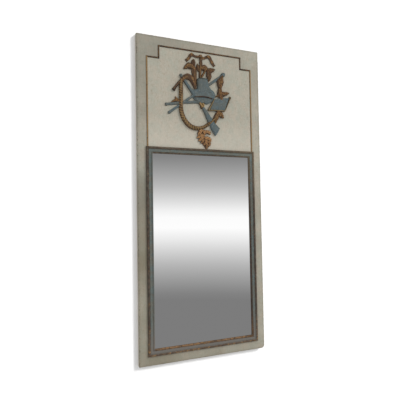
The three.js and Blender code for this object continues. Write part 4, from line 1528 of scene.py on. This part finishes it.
def horn_line(name, drawn):
    """The middle of the horn as a curve whose radius is the horn's own."""
    rows, _, _ = through(drawn, 3.0)
    curve = bpy.data.curves.new(name, "CURVE")
    curve.dimensions = "3D"
    spline = curve.splines.new("POLY")
    spline.points.add(len(rows) - 1)
    for point, (x, z, width, height) in zip(spline.points, rows):
        radius = width / 2 * 0.98
        middle_height = height * 0.93 - radius
        point.co = (x * MM, BOARD_FRONT - middle_height * MM, TROPHY_FOOT + z * MM, 1)
        point.radius = radius * MM
    return curve


def pin_tree():
    """Small round pin heads set on points."""
    tree, nodes, given, put = geometry_tree("pins in the strips", {"Head": 0.0011})
    head = nodes.add(
        "GeometryNodeMeshUVSphere", {"Segments": 12, "Rings": 6, "Radius": given["Head"]}
    ).outputs["Mesh"]
    flat = nodes.add("GeometryNodeTransform", {"Geometry": head, "Scale": (1, 0.4, 1)})
    placed = nodes.add(
        "GeometryNodeInstanceOnPoints", {"Points": given["Geometry"], "Instance": flat.outputs[0]}
    )
    finish_tree(nodes, placed.outputs[0], put, STEEL)
    return tree


def strip_pin_places():
    """Where the pins stand: along the middle of each glazing strip, about every 120 mm."""
    places = []
    for node in ("bottom_strip", "top_strip", "left_strip", "right_strip"):
        low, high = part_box(node)
        size = high - low
        long_axis = 0 if size.x > size.z else 2
        count = round(size[long_axis] / 0.12)
        for index in range(count):
            spot = (low + high) / 2
            spot[long_axis] = low[long_axis] + size[long_axis] * (index + 0.5) / count
            spot.y = high.y
            places.append(tuple(spot))
    return places


def build_small_things():
    cord = cord_tree()
    for name, drawn in (("left_horn_cord", COIL_LEFT), ("base_horn_cord", COIL_BASE)):
        grown(name, cord, horn_line(name, drawn), HORN_GILDING, "gilding", Pitch=0.011, Slant=0.5)
    pins = bpy.data.meshes.new("pin places")
    pins.from_pydata(strip_pin_places(), [], [])
    grown("strip_pins", pin_tree(), pins, STEEL, "steel", Head=0.0011)


# ---------------------------------------------------------------- The hangers


def lathe(profile, sides, centre):
    """A turned solid whose axis points into the wall: the profile gives (radius, height) from its
    tip to its top."""
    turn = Vector((0, 0, 1)).rotation_difference(Vector((0, 1, 0))).to_matrix()
    verts = []
    for radius, height in profile:
        for side in range(sides):
            angle = 2 * math.pi * side / sides
            spot = Vector((radius * math.cos(angle), radius * math.sin(angle), height))
            verts.append(Vector(centre) + turn @ spot)
    return verts, capped_grid(len(profile), sides)


def ring_path(cx, bar_y, bar_z):
    """The D of the ring, from the bar's left end round the bow, as points in its own plane."""
    half, length, corner = 12.5 * MM, 24 * MM, 4 * MM
    points = []
    for x, z, radius, start, end in (
        (half - corner, -corner, corner, 90, 0),
        (0, -(length - half), half, 0, -180),
        (-half + corner, -corner, corner, 180, 90),
    ):
        steps = 8 if radius == corner else 28
        for step in range(steps + 1):
            angle = math.radians(start + (end - start) * step / steps)
            ring_x = cx + x + radius * math.cos(angle)
            points.append(Vector((ring_x, bar_y, bar_z + z + radius * math.sin(angle))))
    return points


def wire_loop(points, radius):
    """A closed wire through points that lie in a plane of equal Y."""
    sides = 14
    count = len(points)
    verts = []
    for index, point in enumerate(points):
        ahead = (points[(index + 1) % count] - points[index - 1]).normalized()
        across = Vector((-ahead.z, 0, ahead.x))
        for side in range(sides):
            angle = 2 * math.pi * side / sides
            deep = Vector((0, radius * math.sin(angle), 0))
            verts.append(point + across * radius * math.cos(angle) + deep)
    return verts, grid_faces(count, sides, around=True, along=True)


def build_hangers():
    wire = 1.5 * MM
    for hand, body in (("left", "left_ring"), ("right", "right_ring")):
        ring_node = f"{hand}_hanger_ring"
        low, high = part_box(ring_node)
        cx, bar_y, bar_z = (low.x + high.x) / 2, (low.y + high.y) / 2, high.z - wire
        verts, faces = wire_loop(ring_path(cx, bar_y, bar_z), wire)
        piece_from(f"{hand}_ring_wire", verts, faces, STEEL, "steel", ring_node, body)
        for row in (1, 2):
            build_screw(f"{hand}_hanger_screw_{row}")
        bevelled(f"{hand}_hanger_plate", STEEL, 0.35 * MM)


def build_screw(node):
    """A slotted screw with a domed head, its slot cut by leaving a gap between two half heads."""
    low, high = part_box(node)
    cx, cz = (low.x + high.x) / 2, (low.z + high.z) / 2
    head, top, seat = (high.z - low.z) / 2, high.y, high.y - 2 * MM
    shank = 1.9 * MM
    profile = [(0.2 * shank, low.y - seat), (shank, low.y - seat + 2 * shank), (shank, 0)]
    verts, faces = lathe(profile, 20, (cx, seat, cz))
    parts = [(np.array(verts), faces, np.full(len(verts), 0.5))]
    slot_half = 0.45 * MM
    floor_profile = [(head * 0.98, 0.0), (head, 0.3 * MM), (head, 1.1 * MM), (0.1 * MM, 1.15 * MM)]
    verts, faces = lathe(floor_profile, 28, (cx, seat, cz))
    parts.append((np.array(verts), faces, np.full(len(verts), 0.4)))
    rim = seat + 1.0 * MM
    dome = 1.15
    rows, columns = 7, 15
    for side in (-1, 1):
        verts = []
        start = math.asin(slot_half / head)
        for row in range(rows):
            lift = dome * row / (rows - 1)
            radius = head * math.cos(lift)
            y = rim + (top - rim) * math.sin(lift) / math.sin(dome)
            for step in range(columns):
                angle = start + (math.pi - 2 * start) * step / (columns - 1)
                x = radius * math.cos(angle)
                z = max(radius * math.sin(angle), slot_half)
                verts.append((cx + x, y, cz + side * z))
        parts.append((np.array(verts), capped_grid(rows, columns), np.full(len(verts), 0.8)))
    verts, faces, crest = join(parts)
    name = node.replace("hanger_screw", "slotted_screw")
    return piece_from(name, verts, faces, STEEL, "steel", node, crest=crest)


# ---------------------------------------------------------------- Nodes that keep their shape


def refinish(node, material):
    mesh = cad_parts[node].data
    mesh.materials.clear()
    mesh.materials.append(material)


def bevelled(node, material, width):
    """A CAD node with its own shape, eased edges and a finish."""
    refinish(node, material)
    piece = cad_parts[node]
    weld = piece.modifiers.new("weld", "WELD")
    weld.merge_threshold = 0.005 * MM
    ease = piece.modifiers.new("ease", "BEVEL")
    ease.width = width
    ease.segments = 2
    ease.limit_method = "ANGLE"
    ease.angle_limit = math.radians(40)


def build_kept_nodes():
    refinish("mirror_glass", MIRROR)
    bevelled("backing_board", BACKING, 0.5 * MM)
    for node in ("bottom_strip", "top_strip"):
        bevelled(node, PINE_LEVEL, 0.8 * MM)
    for node in ("left_strip", "right_strip"):
        bevelled(node, PINE_UPRIGHT, 0.8 * MM)
    for row in ("bottom", "middle", "top"):
        for hand in ("left", "right"):
            bevelled(f"{row}_{hand}_peg", PINE_UPRIGHT, 0.3 * MM)


# ---------------------------------------------------------------- Wall, floor, light and camera


AMBIENT = 0.80
WINDOW = (0.58, -0.55, 0.50)
WINDOW_SPREAD = 16
ROOM_UPRIGHT = (-0.001, 0.046, 0.999)
# How bright the reflected room is, by the height of the direction.
ROOM_SHADES = (
    (-0.237, 0.482),
    (-0.222, 0.508),
    (-0.155, 0.712),
    (-0.097, 0.914),
    (-0.068, 0.992),
    (-0.042, 0.985),
    (-0.024, 0.941),
    (0.034, 0.722),
    (0.107, 0.506),
)
CAMERA_PLACE = (-0.73516, -1.70278, -0.31462)
CAMERA_RIGHT = (0.91973, -0.39217, -0.01717)
CAMERA_AHEAD = (0.39253, 0.91874, 0.04282)
LENS = 36.84


def backdrop_material(name):
    """White that keeps the object's shadow for the camera and lets every other ray by."""
    material, nodes = new_material(name)
    path = nodes.add("ShaderNodeLightPath").outputs
    behind = nodes.add("ShaderNodeNewGeometry").outputs["Backfacing"]
    chalk = nodes.add("ShaderNodeBsdfDiffuse", {"Color": (0.8, 0.8, 0.8, 1)})
    glow = nodes.add("ShaderNodeEmission", {"Color": (1, 1, 1, 1), "Strength": 0.05})
    seen = nodes.add("ShaderNodeAddShader", {0: chalk.outputs[0], 1: glow.outputs[0]})
    clear = nodes.add("ShaderNodeBsdfTransparent")
    shown = nodes.times(path["Is Camera Ray"], nodes.minus(1.0, behind))
    mixed = nodes.add("ShaderNodeMixShader", {0: shown, 1: clear.outputs[0], 2: seen.outputs[0]})
    output = nodes.add("ShaderNodeOutputMaterial")
    nodes.tree.links.new(mixed.outputs[0], output.inputs["Surface"])
    return material


def panel(name, corners, material, collection):
    mesh = bpy.data.meshes.new(name)
    mesh.from_pydata(corners, [], [(0, 1, 2, 3)])
    mesh.materials.append(material)
    sheet = bpy.data.objects.new(name, mesh)
    collection.objects.link(sheet)


def build_backdrop():
    material = backdrop_material("white wall and floor")
    backdrop = bpy.data.collections.new("backdrop")
    bpy.context.scene.collection.children.link(backdrop)
    wall_y = BOARD_BACK + 0.5 * MM
    floor_z = BOARD_FOOT - 0.32
    wide, high, deep = 6.0, 6.0, 8.0
    foot = [(-wide, wall_y, floor_z), (wide, wall_y, floor_z)]
    head = [(wide, wall_y, high), (-wide, wall_y, high)]
    near = [(-wide, -deep, floor_z), (wide, -deep, floor_z)]
    panel("wall", foot + head, material, backdrop)
    panel("floor", near + foot[::-1], material, backdrop)


def build_world():
    """Even grey light, a white background, and what the mirror and metal reflect: a pale room that
    is brightest at eye level and grey above and below."""
    world = bpy.data.worlds.new("studio")
    bpy.context.scene.world = world
    world.use_nodes = True
    world.node_tree.nodes.clear()
    nodes = Nodes(world.node_tree)
    direction = nodes.add("ShaderNodeTexCoord").outputs["Generated"]
    level = nodes.add(
        "ShaderNodeVectorMath", {0: direction, 1: ROOM_UPRIGHT}, operation="DOT_PRODUCT"
    )
    spread = 0.30
    place = nodes.ramp(level.outputs["Value"], -spread, spread)
    place.node.interpolation_type = "LINEAR"
    room = nodes.add("ShaderNodeValToRGB", {"Fac": place})
    stops = room.color_ramp
    stops.interpolation = "LINEAR"
    for _ in range(len(ROOM_SHADES) - 2):
        stops.elements.new(0.5)
    for stop, (height, shade) in zip(stops.elements, ROOM_SHADES):
        stop.position = (height + spread) / (2 * spread)
        stop.color = (shade, shade, shade, 1)
    room = nodes.add("ShaderNodeGamma", {"Color": room.outputs["Color"], "Gamma": 2.2})
    path = nodes.add("ShaderNodeLightPath").outputs
    white = (1, 1, 1, 1)
    ambient, mirrored, plain = (
        nodes.add("ShaderNodeBackground", {"Color": tone, "Strength": strength}).outputs[0]
        for tone, strength in ((white, AMBIENT), (room.outputs["Color"], 1.0), (white, 1.0))
    )
    gloss = nodes.most(path["Is Glossy Ray"], path["Is Transmission Ray"])
    lit = nodes.add("ShaderNodeMixShader", {0: gloss, 1: ambient, 2: mirrored}).outputs[0]
    seen = nodes.add("ShaderNodeMixShader", {0: path["Is Camera Ray"], 1: lit, 2: plain})
    output = nodes.add("ShaderNodeOutputWorld")
    nodes.tree.links.new(seen.outputs[0], output.inputs["Surface"])


def build_lamp(name, towards, strength, spread, lights=None):
    """A broad even light from the given direction, on everything or on one collection."""
    data = bpy.data.lights.new(name, "SUN")
    data.energy = strength
    data.angle = math.radians(spread)
    lamp = bpy.data.objects.new(name, data)
    lamp.rotation_mode = "QUATERNION"
    lamp.rotation_quaternion = Vector(towards).to_track_quat("Z", "Y")
    lamp.visible_glossy = False
    lamp.light_linking.receiver_collection = lights
    bpy.context.scene.collection.objects.link(lamp)


def build_camera():
    """At the photograph's viewpoint, below the middle and well to the left."""
    data = bpy.data.cameras.new("camera")
    data.sensor_width = 36.0
    data.lens = LENS
    data.clip_start = 0.05
    camera = bpy.data.objects.new("camera", data)
    forward = Vector(CAMERA_AHEAD).normalized()
    up = Vector(CAMERA_RIGHT).cross(forward).normalized()
    right = forward.cross(up).normalized()
    turn = Matrix((right, up, -forward)).transposed()
    camera.matrix_world = Matrix.Translation(CAMERA_PLACE) @ turn.to_4x4()
    bpy.context.scene.collection.objects.link(camera)
    bpy.context.scene.camera = camera


def build_light():
    build_world()
    backdrop = bpy.data.collections["backdrop"]
    build_lamp("window", WINDOW, 1.38, WINDOW_SPREAD)
    build_lamp("window, more on the wall", WINDOW, 1.65, WINDOW_SPREAD, backdrop)
    build_lamp("light behind", (-0.3, 0.8, 0.5), 1.2, 60)
    bpy.context.scene.view_settings.view_transform = "Standard"


build_camera()
build_board()
build_moulding()
build_fillet()
build_staffs()
build_musket()
build_ribbons()
build_leaves()
build_horn()
build_hat()
build_bag()
build_drop()
build_small_things()
build_hangers()
build_kept_nodes()
build_backdrop()
build_light()
